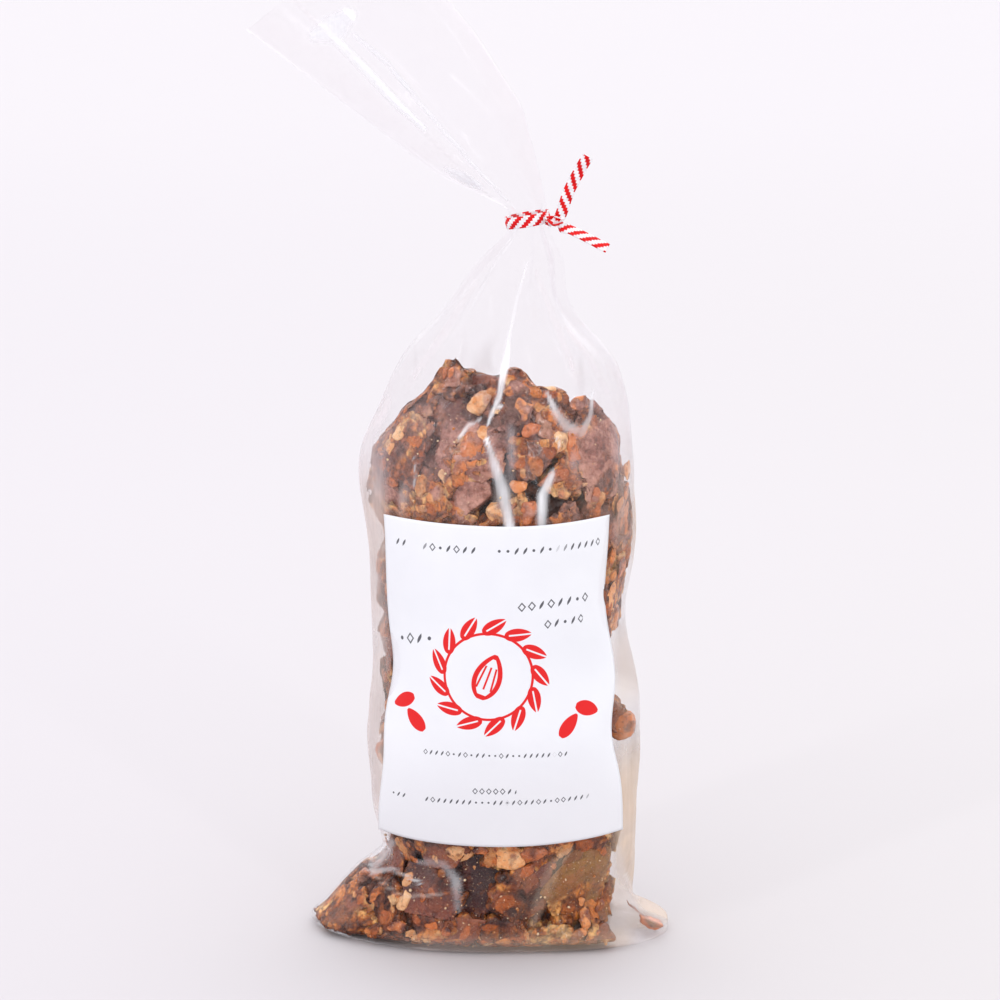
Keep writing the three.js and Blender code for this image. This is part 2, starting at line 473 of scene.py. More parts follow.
trial, broken_along = broken_slab(random.Random(1), 34 * MM, 26 * MM, 12 * MM)
print("a trial slab is cut by", len(broken_along), "planes to", len(trial.faces), "faces")
trial.free()

# %% [markdown]
# ## One skin, and what it carries
# A boolean would also join slab and nuts, but its long thin faces carry no relief. A voxel remesh melts
# them into one skin of even faces, fine enough to carry the crumbs. Points are moved as arrays, and what
# each point is, nut or sugar, crumbly or smooth, is stored on it for the shader.

# %% One skin, and what it carries
VOXEL_FINE = 0.75 * MM
VOXEL_PLAIN = 1.3 * MM


def remeshed(bm, voxel):
    """The bmesh as one closed skin of even quads."""
    mesh = mesh_from(bm, "blank")
    blank = in_scene("blank", mesh)
    modifier = blank.modifiers.new("skin", "REMESH")
    modifier.mode = "VOXEL"
    modifier.voxel_size = voxel
    depsgraph = bpy.context.evaluated_depsgraph_get()
    skin = bpy.data.meshes.new_from_object(blank.evaluated_get(depsgraph))
    bpy.data.objects.remove(blank)
    bpy.data.meshes.remove(mesh)
    return skin


def points_of(mesh, what="co"):
    """The places of a mesh's points, or with "normal" the directions they face, as an array."""
    flat = np.empty(len(mesh.vertices) * 3, np.float32)
    if what == "co":
        mesh.vertices.foreach_get("co", flat)
    else:
        mesh.vertex_normals.foreach_get("vector", flat)
    return flat.reshape(-1, 3).astype(float)


def set_points(mesh, points):
    """Moves a mesh's points to new places."""
    mesh.vertices.foreach_set("co", np.asarray(points, np.float32).ravel())
    mesh.update()


def set_attribute(mesh, name, values):
    """Stores a number on each point of a mesh, where a shader can read it."""
    layer = mesh.attributes.get(name) or mesh.attributes.new(name, "FLOAT", "POINT")
    layer.data.foreach_set("value", np.asarray(values, np.float32).ravel())


ball = bmesh.new()
bmesh.ops.create_icosphere(ball, subdivisions=2, radius=5 * MM)
trial = remeshed(ball, VOXEL_PLAIN)
print("a ball of 10 mm gets", len(points_of(trial)), "points")
bpy.data.meshes.remove(trial)

# %% [markdown]
# ## A broken piece of brittle
# Boiled sugar stays smooth where it set, and crumbles where it broke. So the crumbly share of a piece is
# high on its broken sides, and low on its flat faces if its crust is low. There the skin is lifted and cut
# into chips of two sizes, while nuts stay rounder.

# %% A broken piece of brittle
COARSE_CHIP = 5.4 * MM
FINE_CHIP = 2.6 * MM
GOLDEN = 0.618  # a step that spreads the nuts' shades evenly


def nut_share(points, nuts):
    """How much each point belongs to a nut, and a random shade for the nut it belongs to."""
    share = np.zeros(len(points))
    shade = np.zeros(len(points))
    for number, (at, turn, halves, faces) in enumerate(nuts):
        local = (points - np.array(at)) @ np.array(turn.to_matrix()) / np.array(halves)
        out_by = np.linalg.norm(local, axis=1) - 1
        for out, reach in faces:
            out_by = np.maximum(out_by, local @ np.array(out) - reach)
        near = 1 - step(0.02, 0.34, out_by)
        shade = np.where(near > share, (number * GOLDEN) % 1, shade)
        share = np.maximum(share, near)
    return share, shade


def brittle_piece(seed, length, width, thick, nuts=14, nut_size=4.2, crust=0.5, tone=0.5, voxel=VOXEL_FINE):
    """One broken piece, lying flat at the origin. Lengths are in millimetres."""
    rng = random.Random(seed)
    length, width, thick, nut_size = (value * MM for value in (length, width, thick, nut_size))
    bm, planes = broken_slab(rng, length, width, thick)
    rim = 0.7 if crust < 0.5 else 0.0
    set_in = add_nuts(bm, rng, planes, length, width, thick, nuts, nut_size, rim)
    mesh = remeshed(bm, voxel)
    points = points_of(mesh)
    normals = points_of(mesh, "normal")
    nut, shade = nut_share(points, set_in)
    # Broken sides face away from the slab's upright axis, and are more crumbly.
    broken_side = 1 - step(0.45, 0.8, np.abs(normals[:, 2]))
    crumbly = step(0.12, -0.12, layered(points, 13 * MM, 2, seed) + 0.6 - crust * 1.2 - 0.45 * broken_side)
    rough = crumbly * (1 - 0.7 * nut)
    coarse_edge, coarse, coarse_slant = chips(points, COARSE_CHIP, seed)
    fine_edge, fine, fine_slant = chips(points, FINE_CHIP, seed + 20)
    coarse_crease = 1 - step(0.0, 0.22, coarse_edge)
    fine_crease = 1 - step(0.0, 0.28, fine_edge)
    # Relief in millimetres: broad swells, then coarse and fine chips that stand out and slant.
    swell = bumps(points, 11 * MM, seed + 5)
    lift = swell * 0.7 + 0.1 * bumps(points, 2 * MM, seed + 9)
    lift += rough * (1.8 * (coarse - 0.5) + 1.4 * coarse_slant - 0.8 * coarse_crease)
    lift += (0.35 + 0.65 * rough) * (0.6 * (fine - 0.5) + 0.5 * fine_slant - 0.3 * fine_crease)
    set_points(mesh, points + normals * lift[:, None] * MM)
    blend = 0.5 + 0.5 * layered(points, 7 * MM, 3, seed + 30)
    # The creases are kept for painted shade: the shader darkens them as shade that falls into them.
    creases = np.maximum(coarse_crease, 0.7 * fine_crease) * (0.25 + 0.75 * rough)
    set_attribute(mesh, "nut", nut)
    set_attribute(mesh, "shade", shade)
    set_attribute(mesh, "crust", crumbly)
    set_attribute(mesh, "chip", 0.25 * coarse + 0.3 * fine + 0.45 * blend)
    set_attribute(mesh, "crease_shade", np.clip(creases, 0, 1))
    set_attribute(mesh, "tone", np.full(len(points), tone))
    return mesh


trial = brittle_piece(1, 34, 26, 12)
print("a trial piece has", len(trial.polygons), "faces")
bpy.data.meshes.remove(trial)

# %% [markdown]
# ## Where a piece may lie
# The pile has an uneven top, and it is narrower than the bag at its sides, where empty film stands out. Both
# outlines are tables of what is seen from the front. A piece that stands out of them slides down or inward
# until it fits, and what is still outside is pressed back, but left jagged.

# %% Where a piece may lie
# The pile's top: x and height, in millimetres.
PILE_TOP = [
    (-46, 154), (-44, 172), (-39, 178), (-31, 186), (-25, 191), (-21, 198), (-18, 203.5), (-14, 202),
    (-12, 199), (-3, 198), (2, 199), (7, 198), (10, 194.5), (15, 192), (20, 191), (26, 189), (31, 190),
    (35, 186), (39, 184), (41, 177), (45, 167), (46, 146),
]
# How far the pile reaches to the left and right: height, then x on either side.
PILE_SIDES = [
    (0, -60, 42), (44, -50, 41), (50, -37, 39), (60, -38, 37), (64, -42, 37), (73, -42, 37), (77, -38, 37),
    (92, -40, 37), (96, -43, 37), (108, -43, 38), (114, -39, 46), (119, -43, 46), (134, -43, 46),
    (139, -39, 46), (146, -40, 46), (152, -46, 46), (200, -46, 46),
]
TOP_X, TOP_Z = np.transpose(PILE_TOP) * MM
SIDE_Z, LEFT_X, RIGHT_X = np.transpose(PILE_SIDES) * MM
SIGHT_SLOPE = 0.19
SLIDE_PAST = 7 * MM
OPEN_TOP = (165 * MM, 190 * MM)  # from here up light falls between the pieces
VEIL_PAINTED_FROM = (135 * MM, 155 * MM)  # from here up a pale veil is painted on them, for the film's haze and glare


def over_top(points):
    """How far points stand above the pile's outline, seen from the camera."""
    seen = points[:, 2] + SIGHT_SLOPE * points[:, 1]
    return seen - np.interp(points[:, 0], TOP_X, TOP_Z)


def over_left(points):
    """How far points stand out of the pile to the left."""
    return np.interp(points[:, 2], SIDE_Z, LEFT_X) - points[:, 0]


def over_right(points):
    """How far points stand out of the pile to the right."""
    return points[:, 0] - np.interp(points[:, 2], SIDE_Z, RIGHT_X)


def kept_below(over, points, seed):
    """How far to bring points back that stand past a limit, so that a jagged surface stays."""
    jag = 0.7 * MM + 1.6 * MM * bumps(points, 7 * MM, seed) + 0.9 * MM * bumps(points, 3 * MM, seed + 1)
    give = 0.8 * MM
    over = over + jag
    return np.where(over > -4 * give, over + give * np.log1p(np.exp(-over / give)), 0)


def in_outline(points):
    """Slides a piece down and inward until little of it stands out of the outline, and brings that back."""
    points[:, 2] -= max(0, over_top(points).max() - SLIDE_PAST)
    points[:, 0] += max(0, over_left(points).max() - SLIDE_PAST)
    points[:, 0] -= max(0, over_right(points).max() - SLIDE_PAST)
    left, right = over_left(points), over_right(points)
    points[:, 0] += kept_below(left, points, 51) - kept_below(right, points, 61)
    points[:, 2] -= kept_below(over_top(points), points, 71)
    return points


def settle(mesh, at, outward, spin=0.0, lean=(0.0, 0.0), loose=False, gap=FILM_GAP):
    """Turns a piece so that its flat face looks outward, and puts its middle at a place in millimetres.

    All but a loose piece are kept in the pile's outline, and all stay this gap behind the film. What lies
    deep in the pile is marked for painted shade, and what lies just under the film high up for a painted
    pale veil, which stands for the film's milky haze and its glare there.
    """
    turn = Vector(outward).to_track_quat("Z", "Y").to_matrix()
    turn = turn @ Euler((lean[0], lean[1], spin)).to_matrix()
    points = points_of(mesh) @ np.array(turn).T + np.array(at) * MM
    if not loose:
        points = in_outline(points)
    points, depth = press_inside(points, gap)
    set_points(mesh, points)
    shaded = 1 - step(*OPEN_TOP, points[:, 2])
    # Painted shade: depth behind the film is stored, and the shader darkens deep pieces as shade between
    # them.
    set_attribute(mesh, "deep", (not loose) * step(2.8 * MM, 12 * MM, depth) * (0.35 + 0.65 * shaded))
    high_up = 0.05 + 0.95 * step(*VEIL_PAINTED_FROM, points[:, 2])
    set_attribute(mesh, "film_haze_and_glare", high_up * (1 - step(2.5 * MM, 7 * MM, depth)))
    return mesh


print("a point 210 mm up is", round(over_top(np.array([[0, 0, 0.21]]))[0] / MM, 1), "mm over the pile")

# %% [markdown]
# ## Joining and naming
# Pieces of one kind become one mesh, which is how a scattered kind is handed over. Each is shaded smooth.

# %% Joining and naming


def joined(name, meshes, finish):
    """One piece of the scene from several meshes."""
    parts = [in_scene(name, mesh) for mesh in meshes]
    whole = parts[0]
    if len(parts) > 1:
        with bpy.context.temp_override(active_object=whole, selected_editable_objects=parts):
            bpy.ops.object.join()
    whole.name = name
    whole.data.name = name
    whole.data.materials.clear()
    whole.data.materials.append(finish)
    whole.data.shade_smooth()
    triangles = sum(len(face.vertices) - 2 for face in whole.data.polygons)
    print(name, "has", triangles, "triangles")
    return whole


# %% [markdown]
# ## The finish of brittle
# Boiled sugar is dark amber and shiny where it set smooth, and pale and dull where it crumbled. Nuts are
# tan, and some keep their brown skin. Noise alone would put those colours anywhere. So the mesh says what
# each point is, and the shader colours it, mottled by noise. Shade is painted too: creases and what lies
# deep in the pile are darkened, and high up a pale veil stands for the film's milky haze and glare.

# %% The finish of brittle
# From dark to light: where each colour stands on the scale from 0 to 1, and the colour on a screen.
SUGAR_COLOURS = [
    (0.08, (62, 26, 27)), (0.3, (124, 58, 40)), (0.5, (142, 68, 34)), (0.72, (150, 84, 28)),
    (0.95, (152, 104, 36)),
]
CRUMB_COLOURS = [
    (0.28, (70, 26, 14)), (0.43, (124, 58, 20)), (0.57, (174, 90, 26)), (0.7, (218, 130, 46)),
    (0.82, (250, 190, 112)),
]
NUT_COLOURS = [(0.25, (166, 74, 24)), (0.6, (224, 118, 38)), (0.82, (240, 156, 80)), (1.0, (253, 208, 152))]
SKIN_BELOW = 0.3  # the shade under which a nut still has its brown skin


def brittle_finish():
    """Sugar, crumbs and nuts by each point's kind; then painted shade, and painted film haze and glare."""
    s = material("brittle")
    nut, shade, crust = s.attribute("nut"), s.attribute("shade"), s.attribute("crust")
    chip, crease_shade = s.attribute("chip"), s.attribute("crease_shade")
    tone, deep = s.attribute("tone"), s.attribute("deep")
    broad = s.noise(90, 3, 0.55)
    grain = s.noise(700, 4, 0.65)
    mottle = s.noise(260, 4, 0.7)
    sugar = s.colours(tone * 0.75 + (broad - 0.5) * 1.1 + 0.12, SUGAR_COLOURS)
    sugar = s.mix((mottle - 0.5).ramp(0.02, 0.2) * 0.5, sugar, rgb(184, 108, 58))
    sugar = s.mix((0.5 - mottle).ramp(0.02, 0.22) * 0.55, sugar, rgb(48, 18, 20))
    picked = chip + (grain - 0.5) * 0.35 + (tone - 0.5) * 0.3
    crumbs = s.colours(picked, CRUMB_COLOURS)
    nut_meat = s.colours(shade + (mottle - 0.5) * 0.6, NUT_COLOURS)
    nut_meat = s.mix((broad - 0.5).ramp(0.0, 0.25) * 0.4, nut_meat, rgb(150, 70, 34))
    nut_meat = s.mix(tone.ramp(0.5, 0.0) * 0.25, nut_meat, rgb(226, 150, 116))
    skin = s.mix(grain, rgb(112, 50, 24), rgb(150, 74, 34))
    nut_meat = s.mix((shade - SKIN_BELOW).ramp(-0.02, 0.02), skin, nut_meat)
    colour = s.mix(crust, sugar, crumbs)
    shown = (nut + (mottle - 0.5) * 0.9).ramp(0.3, 0.95)
    colour = s.mix(shown * (shade * 0.5 + 0.5), colour, nut_meat)
    colour = s.mix((s.noise(1700, 2) - 0.5).ramp(0.15, 0.22) * 0.55, colour, rgb(246, 214, 170))
    colour = s.mix((0.45 - grain).ramp(0.0, 0.09) * 0.45, colour, rgb(58, 22, 16))
    nut_edge = (nut * (1 - nut) * 4).ramp(0.3, 1.0)
    colour = s.mix(nut_edge * 0.35, colour, rgb(84, 34, 18))
    # Painted shade: creases are darkened towards near black, as shade that falls into them.
    colour = s.mix(crease_shade * 0.8, colour, rgb(40, 15, 14))
    bare_sugar = (1 - shown * 0.7) * (1 - crust * 0.5)
    cloudy = (mottle * 0.7 + broad * 0.5 + grain * 0.3).ramp(0.6, 0.95, 0.1, 1.0)
    # Painted haze and glare: a pale pink veil on bare sugar high up, where the film lies on the pieces.
    film_haze_and_glare = s.attribute("film_haze_and_glare") * bare_sugar * cloudy
    colour = s.mix(film_haze_and_glare * 0.58, colour, rgb(240, 186, 170))
    # Painted shade: what lies deep in the pile is darkened towards near black, as the shade between pieces.
    colour = s.mix(deep * 0.88, colour, rgb(30, 12, 16))
    shine = (crust * 0.7 + nut * 0.4 + (grain - 0.5) * 0.8).ramp(0, 1, 0.2, 0.55)
    cells = s.node("ShaderNodeTexVoronoi", {"Vector": s.place(), "Scale": 800}, feature="SMOOTH_F1")
    grains = cells["Distance"]
    height = (s.noise(420, 5, 0.6) + grains * 0.5) * (0.5 + crust * 0.5)
    return s.solid(
        base_color=colour,
        roughness=shine,
        normal=s.bump(height, 1.0 * MM),
        ior=1.5,
        specular_ior_level=0.28,
        coat_weight=(0.7 - crust * 0.3) * tone.ramp(0.0, 0.3, 0.35, 1.0),
        coat_roughness=0.07,
    )


brittle = brittle_finish()
print("brittle's shader has", len(brittle.node_tree.nodes), "nodes")

# %% [markdown]
# ## Where the pieces go
# Two windows of film are clear of the label, above and below it, and a strip on either side. Pieces at
# random would do for the back, but here each one is seen, so they are placed one by one, from the tables
# below. Large smooth pieces come first, then the crumbly ones between them, and last what fills the gaps.
# All lengths are in millimetres.

# %% Where the pieces go
# x, z, length, width, thickness, spin and two leans in degrees, depth behind the film, nuts, how crumbly
# the crust is, and the tone from dark to light
TOP_WINDOW = [
    (-18, 186, 58, 42, 13, 26, -6, -8, 3, 20, 0.3, 0.15),
    (-36, 168, 40, 20, 11, 70, 0, -20, 1, 7, 0.35, 0.45),
    (-20, 197, 18, 13, 10, 0, -20, 0, 4, 8, 0.9, 0.7),
    (-31, 188, 26, 10, 10, 42, 0, 0, 1, 12, 0.95, 0.9),
    (-41, 175, 20, 9, 10, 62, 0, -12, 1, 10, 0.95, 0.8),
    (-4, 194, 18, 11, 10, -10, -25, 0, 4, 6, 0.8, 0.3),
    (-11.5, 174, 23, 13, 10, 60, 0, 0, 0, 16, 1.0, 1.0),
    (-9.5, 162, 20, 15, 11, 50, 0, 0, 1, 2, 0.15, 0.4),
    (-27, 157, 26, 14, 11, 25, 0, 0, 0, 16, 0.95, 0.9),
    (-4, 175, 17, 14, 11, 80, 10, 0, 1, 4, 0.2, 0.5),
    (1, 184, 20, 15, 12, -15, -20, 0, 7, 8, 0.6, 0.1),
    (12, 182, 24, 18, 12, 15, -15, 0, 2, 16, 0.7, 0.5),
    (10, 172.5, 18, 16, 12, 40, 0, 0, 0, 14, 1.0, 0.35),
    (23, 181, 26, 15, 11, -10, -10, 0, 1, 14, 0.8, 0.8),
    (24, 168, 18, 11, 10, 75, 0, 10, 0, 10, 0.8, 1.0),
    (36, 173, 44, 22, 11, 84, 0, 16, 0, 6, 0.2, 0.5),
    (23, 157, 20, 14, 11, 80, 0, 5, 8, 4, 0.3, 0.2),
    (8, 156, 13, 13, 11, 60, 0, 0, 1, 8, 0.7, 0.9),
    (3, 152, 24, 14, 11, 10, 0, 0, 1, 14, 0.9, 0.7),
    (40, 155, 28, 14, 10, 80, 0, 22, 1, 14, 0.8, 0.9),
    (-38, 153, 20, 14, 11, 0, 0, -14, 1, 8, 0.4, 0.4),
    (0, 168, 24, 24, 12, 0, 0, 0, 9, 4, 0.3, 0.0),
    (24, 158, 26, 24, 12, 0, 0, 0, 13, 4, 0.3, 0.0),
    (10, 180, 30, 22, 12, 0, -20, 0, 12, 6, 0.5, 0.1),
    (32, 178, 24, 20, 12, 0, 0, 0, 10, 6, 0.5, 0.1),
    (-17, 200.5, 14, 12, 11, 40, -10, 0, 3, 3, 0.5, 0.6),
    (5, 199.5, 15, 10, 9, 0, -15, 0, 3, 12, 1.0, 0.8),
    (15, 193, 21, 12, 10, -5, -12, 0, 3, 12, 0.95, 0.6),
    (-42, 163, 26, 13, 9, 72, 0, 0, 0, 8, 0.5, 0.3),
    (-16, 154, 17, 11, 11, 10, 0, 0, 1, 10, 0.8, 0.8),
]
LOW_WINDOW = [
    (-20, 38, 26, 14, 11, 5, 0, 0, 1, 12, 0.8, 0.4),
    (-1, 38, 22, 13, 11, -8, 0, 0, 0, 14, 0.9, 0.9),
    (14, 38, 20, 13, 11, 8, 0, 0, 0, 16, 1.0, 0.8),
    (28, 40, 24, 14, 11, 10, 0, 8, 1, 14, 0.7, 0.5),
    (-9, 24, 26, 26, 12, 20, 0, 0, 6, 3, 0.15, 0.0),
    (7, 22, 25, 16, 12, 84, 0, 0, 1, 6, 0.5, 0.6),
    (29, 20, 40, 32, 12, 70, 0, 6, -1, 5, 0.3, 1.0),
    (37, 14, 24, 16, 12, 70, 0, 6, 1, 8, 0.6, 0.9),
    (14, 32, 18, 12, 11, 70, 0, 0, 2, 4, 0.3, 0.3),
    (16, 17, 20, 20, 12, 30, 0, 0, 6, 8, 0.6, 0.3),
    (-24, 22, 24, 20, 12, -20, 0, -6, 1, 8, 0.55, 0.2),
    (-20, 9, 28, 12, 13, -6, 10, 0, 1, 14, 0.9, 0.5),
    (2, 7, 26, 11, 13, 6, 10, 0, 1, 14, 0.9, 0.6),
    (18, 4, 22, 11, 13, -4, 10, 0, 2, 12, 0.8, 0.9),
    (-38, 6, 26, 11, 13, 0, 10, 0, 1, 12, 0.7, 0.3),
    (-34, 33, 16, 15, 11, 60, 0, -20, 1, 8, 0.6, 0.3),
    (34, 5, 16, 12, 12, 10, 0, 8, 2, 10, 0.8, 0.7),
    (6, 3, 30, 8, 12, 0, 30, 0, 2, 14, 0.9, 0.4),
    (-22, 3, 30, 8, 12, 0, 30, 0, 2, 14, 0.9, 0.4),
]
# The same, for the strips beside the label.
SIDE_STRIPS = [
    (42, 139, 26, 15, 10, 85, 0, 0, -1, 5, 0.35, 0.7),
    (40, 120, 22, 14, 10, 75, 0, 0, -1, 4, 0.3, 0.6),
    (38, 52, 14, 11, 9, 60, 0, 0, 1, 8, 0.8, 0.8),
    (-40, 100, 18, 10, 8, 80, 0, 0, 0, 6, 0.4, 0.5),
    (-40, 126, 18, 10, 8, 80, 0, 0, 0, 6, 0.4, 0.5),
    (-40, 68, 12, 9, 8, 60, 0, 0, 0, 8, 0.8, 0.6),
    (43, 160, 24, 12, 9, 88, 0, 10, -1, 8, 0.6, 0.9),
]
# In the left ear, and one at the right: x, y, z, three sizes, direction faced, spin, nuts, crust, tone
EAR_PIECES = [
    (-51, -4, 11, 40, 26, 15, (-0.35, -0.3, 1), 5, 26, 0.85, 0.55),
    (-45, -10, 9, 24, 16, 12, (-0.3, -1, 0.5), 20, 12, 0.7, 0.2),
    (-38, -15, 13, 20, 16, 14, (-0.1, -1, 0.4), 50, 10, 0.6, 0.15),
    (-42, 6, 15, 34, 24, 17, (-0.3, 0.8, 0.8), 0, 18, 0.9, 0.5),
    (38.5, -7, 79, 13, 11, 9, (0.3, -1, 0.2), 30, 5, 0.6, 0.5),
]
print(len(TOP_WINDOW) + len(LOW_WINDOW) + len(SIDE_STRIPS), "pieces are placed one by one")

# %% [markdown]
# ## Where single almonds show
# Chopped almonds stand out of the skin of the pile, and a few lie loose in the ears and at the sides. A
# shade near 1 is pale, and one under 0.3 is a nut still in its brown skin.

# %% Where single almonds show
# x, z, length, width, spin in degrees and shade
NUTS_OVER_LABEL = [
    (8.5, 190.5, 7.6, 5.9, 90, 0.75), (10.5, 183.5, 6.6, 4.3, 20, 0.55),
    (-1.3, 189.8, 3.3, 2.6, 60, 1.0), (28.0, 190.8, 7.8, 3.9, 5, 0.7),
    (20.6, 179.1, 6.9, 5.3, 70, 0.97), (25.5, 177.1, 10.4, 5.0, 85, 0.6),
    (-9.4, 178.8, 8.6, 6.2, 60, 0.66), (-13.4, 172.6, 8.4, 5.6, 50, 0.68),
    (-9.5, 172.4, 4.6, 3.0, 10, 0.7), (-9.5, 164.4, 13.2, 10.2, 70, 0.1),
    (-19.4, 167.4, 4.6, 3.3, 80, 1.0), (-22.7, 161.7, 6.9, 5.0, 60, 0.85),
    (-27.0, 155.9, 4.3, 3.0, 20, 0.9), (-35.0, 180.0, 5.3, 4.0, 60, 0.95),
    (-37.6, 174.8, 4.3, 3.0, 80, 0.9), (5.9, 165.4, 5.9, 4.0, 10, 0.75),
    (9.5, 157.6, 8.2, 5.6, 75, 0.55), (-1.6, 157.0, 7.9, 6.6, 60, 0.93),
    (18.4, 167.4, 11.2, 4.6, 12, 0.35), (25.3, 163.4, 1.8, 1.4, 0, 1.0),
    (28.9, 163.7, 1.8, 1.4, 0, 1.0), (40.4, 166.7, 6.6, 4.0, 80, 0.7), (33.2, 159.0, 5.0, 3.3, 70, 0.6),
    (-6.5, 192.1, 8.6, 6.6, 30, 0.9),
]
NUTS_UNDER_LABEL = [
    (-14.5, 35.4, 8.6, 6.6, 0, 0.9), (-7.4, 38.2, 5.9, 3.3, 0, 0.6), (2.4, 35.4, 11.2, 6.6, -10, 0.88),
    (11.8, 37.2, 9.9, 5.6, 5, 0.5), (22.6, 40.4, 5.9, 3.3, 0, 0.7), (-34.0, 17.4, 6.9, 4.6, 70, 0.98),
    (29.8, 11.5, 9.5, 3.6, 78, 0.75), (27.4, 7.0, 5.6, 3.2, 20, 0.75),
    (29.0, 16.2, 4.0, 2.6, 130, 0.75), (35.4, 12.7, 5.3, 3.3, 60, 0.7), (9.5, 31.1, 5.3, 3.3, 50, 0.45),
    (-23.8, 10.1, 4.6, 3.0, 0, 0.6), (-18.7, 8.3, 3.3, 2.6, 0, 0.5), (-36.8, 8.7, 7.3, 4.0, 0, 0.6),
    (24.6, 5.0, 5.0, 2.3, 0, 0.8), (-53.5, 14.0, 4.6, 3.3, 60, 0.6), (-58.0, 8.5, 4.6, 3.0, 30, 0.7),
    (-50.0, 16.5, 4.6, 3.3, 80, 0.5), (-52.5, 8.0, 4.6, 3.0, 10, 0.5), (-27.2, 19.2, 4.0, 3.0, 40, 0.5),
    (43.5, 150, 7, 4.6, 80, 0.7), (42.6, 123.5, 10.5, 7.5, 80, 0.72), (41.8, 113.5, 9.5, 7.0, 70, 0.78),
]
# Loose bits where the bag is wider than its filling: x, y, z, length, width, spin and shade
LOOSE_BITS = [
    (54.2, -9, 5.0, 9.5, 8.5, 20, 0.5), (48.5, -8, 10.5, 6, 2.2, -5, 0.15),
    (42.6, -9, 76.0, 14, 9.0, 18, 0.62), (43.8, -8, 165.0, 6, 4.5, 60, 0.85),
    (44.2, -8, 158.0, 6, 4.5, 80, 0.7), (44.0, -8, 151.0, 6, 4.2, 85, 0.65),
    (38.5, -12, 83.0, 5, 4.5, 60, 0.1), (41.4, -17, 123.0, 11.0, 8.0, 75, 0.85),
    (40.6, -17, 113.5, 9.5, 7.0, 60, 0.85), (43.2, -9, 132.0, 7.0, 5.0, 60, 0.6),
    (44.0, -9, 142.0, 7.0, 4.6, 85, 0.7), (-41.0, -9, 67.0, 6.5, 5.5, 60, 0.6),
]
print(len(NUTS_OVER_LABEL) + len(NUTS_UNDER_LABEL) + len(LOOSE_BITS), "almond bits too")

# %% [markdown]
# ## Filling the bag
# Seen from outside, a full bag is a skin of pieces that lie flat against the film, with dark gaps between
# them. So rings of pieces line the film, each pressed flat where it touches, and a few large plain pieces
# fill the core. In the windows the pieces of the tables take the place of the rings.

# %% Filling the bag
LEVELS = 11
ROUND = 7
LEVEL_STEP = 17
NUT_SIZE = 3.6
WINDOW_GAP = 2.2 * MM
BEFORE_BAG = -0.1
TOP_WINDOW_FROM = 146
LOW_WINDOW_TO = 46
WINDOW_FRONT = -12 * MM
RIGHT_EAR_FROM = 38 * MM
RIGHT_EAR_TO = 26
rng = random.Random(7)


def front_at(x, z):
    """The solid's skin and its outward normal on the front, at x and z in millimetres."""
    spot, normal, _, _ = bag_tree.ray_cast(Vector((x * MM, BEFORE_BAG, z * MM)), Vector((0, 1, 0)))
    return spot, normal


def window_pieces(window, seed):
    """The pieces of one table, each behind the front of the film."""
    made = []
    for number, row in enumerate(window):
        x, z, length, width, thick, spin, lean_x, lean_y, behind, nuts, crust, tone = row
        spot, normal = front_at(x, z)
        piece = brittle_piece(seed + number, length, width, thick, nuts, NUT_SIZE, crust, tone)
        at = (spot - normal * (thick / 2 + behind) * MM) / MM
        lean = (math.radians(lean_x), math.radians(lean_y))
        made.append(settle(piece, at, normal, math.radians(spin), lean, gap=WINDOW_GAP))
    return made


def lining_pieces():
    """Rings of pieces against the film, all round, but for the two windows and the empty right ear."""
    made = []
    for level, i in np.ndindex(LEVELS, ROUND):
        angle = math.tau * (i + 0.5 * (level % 2) + rng.uniform(-0.15, 0.15)) / ROUND
        z = 9 + level * LEVEL_STEP + rng.uniform(-4, 4)
        size = (rng.uniform(28, 40), rng.uniform(20, 30), rng.uniform(10, 15))
        lean = (rng.uniform(-0.45, 0.45), rng.uniform(-0.45, 0.45))
        spin = rng.uniform(0, math.tau)
        nuts = rng.randint(10, 18)
        crust = rng.uniform(0.3, 0.9)
        tone = rng.random()
        spot, normal = wall_at(angle, z * MM)
        in_window = spot.y < WINDOW_FRONT and (z > TOP_WINDOW_FROM or z < LOW_WINDOW_TO)
        in_right_ear = spot.x > RIGHT_EAR_FROM and z < RIGHT_EAR_TO
        if in_window or in_right_ear:
            continue
        seed = 100 + level * ROUND + i
        piece = brittle_piece(seed, *size, nuts, NUT_SIZE, crust, tone, VOXEL_PLAIN)
        at = (spot - normal * (size[2] / 2 + 1) * MM) / MM
        made.append(settle(piece, at, normal, spin, lean))
    return made


lining = lining_pieces()
print(len(lining), "pieces line the film")

# %% [markdown]
# ## Chopped almonds
# A chopped almond is a ball with six flat cuts and a little relief. Its brown skin or pale meat is a number
# on its points, as with the pieces, so that one shader serves both.

# %% Chopped almonds


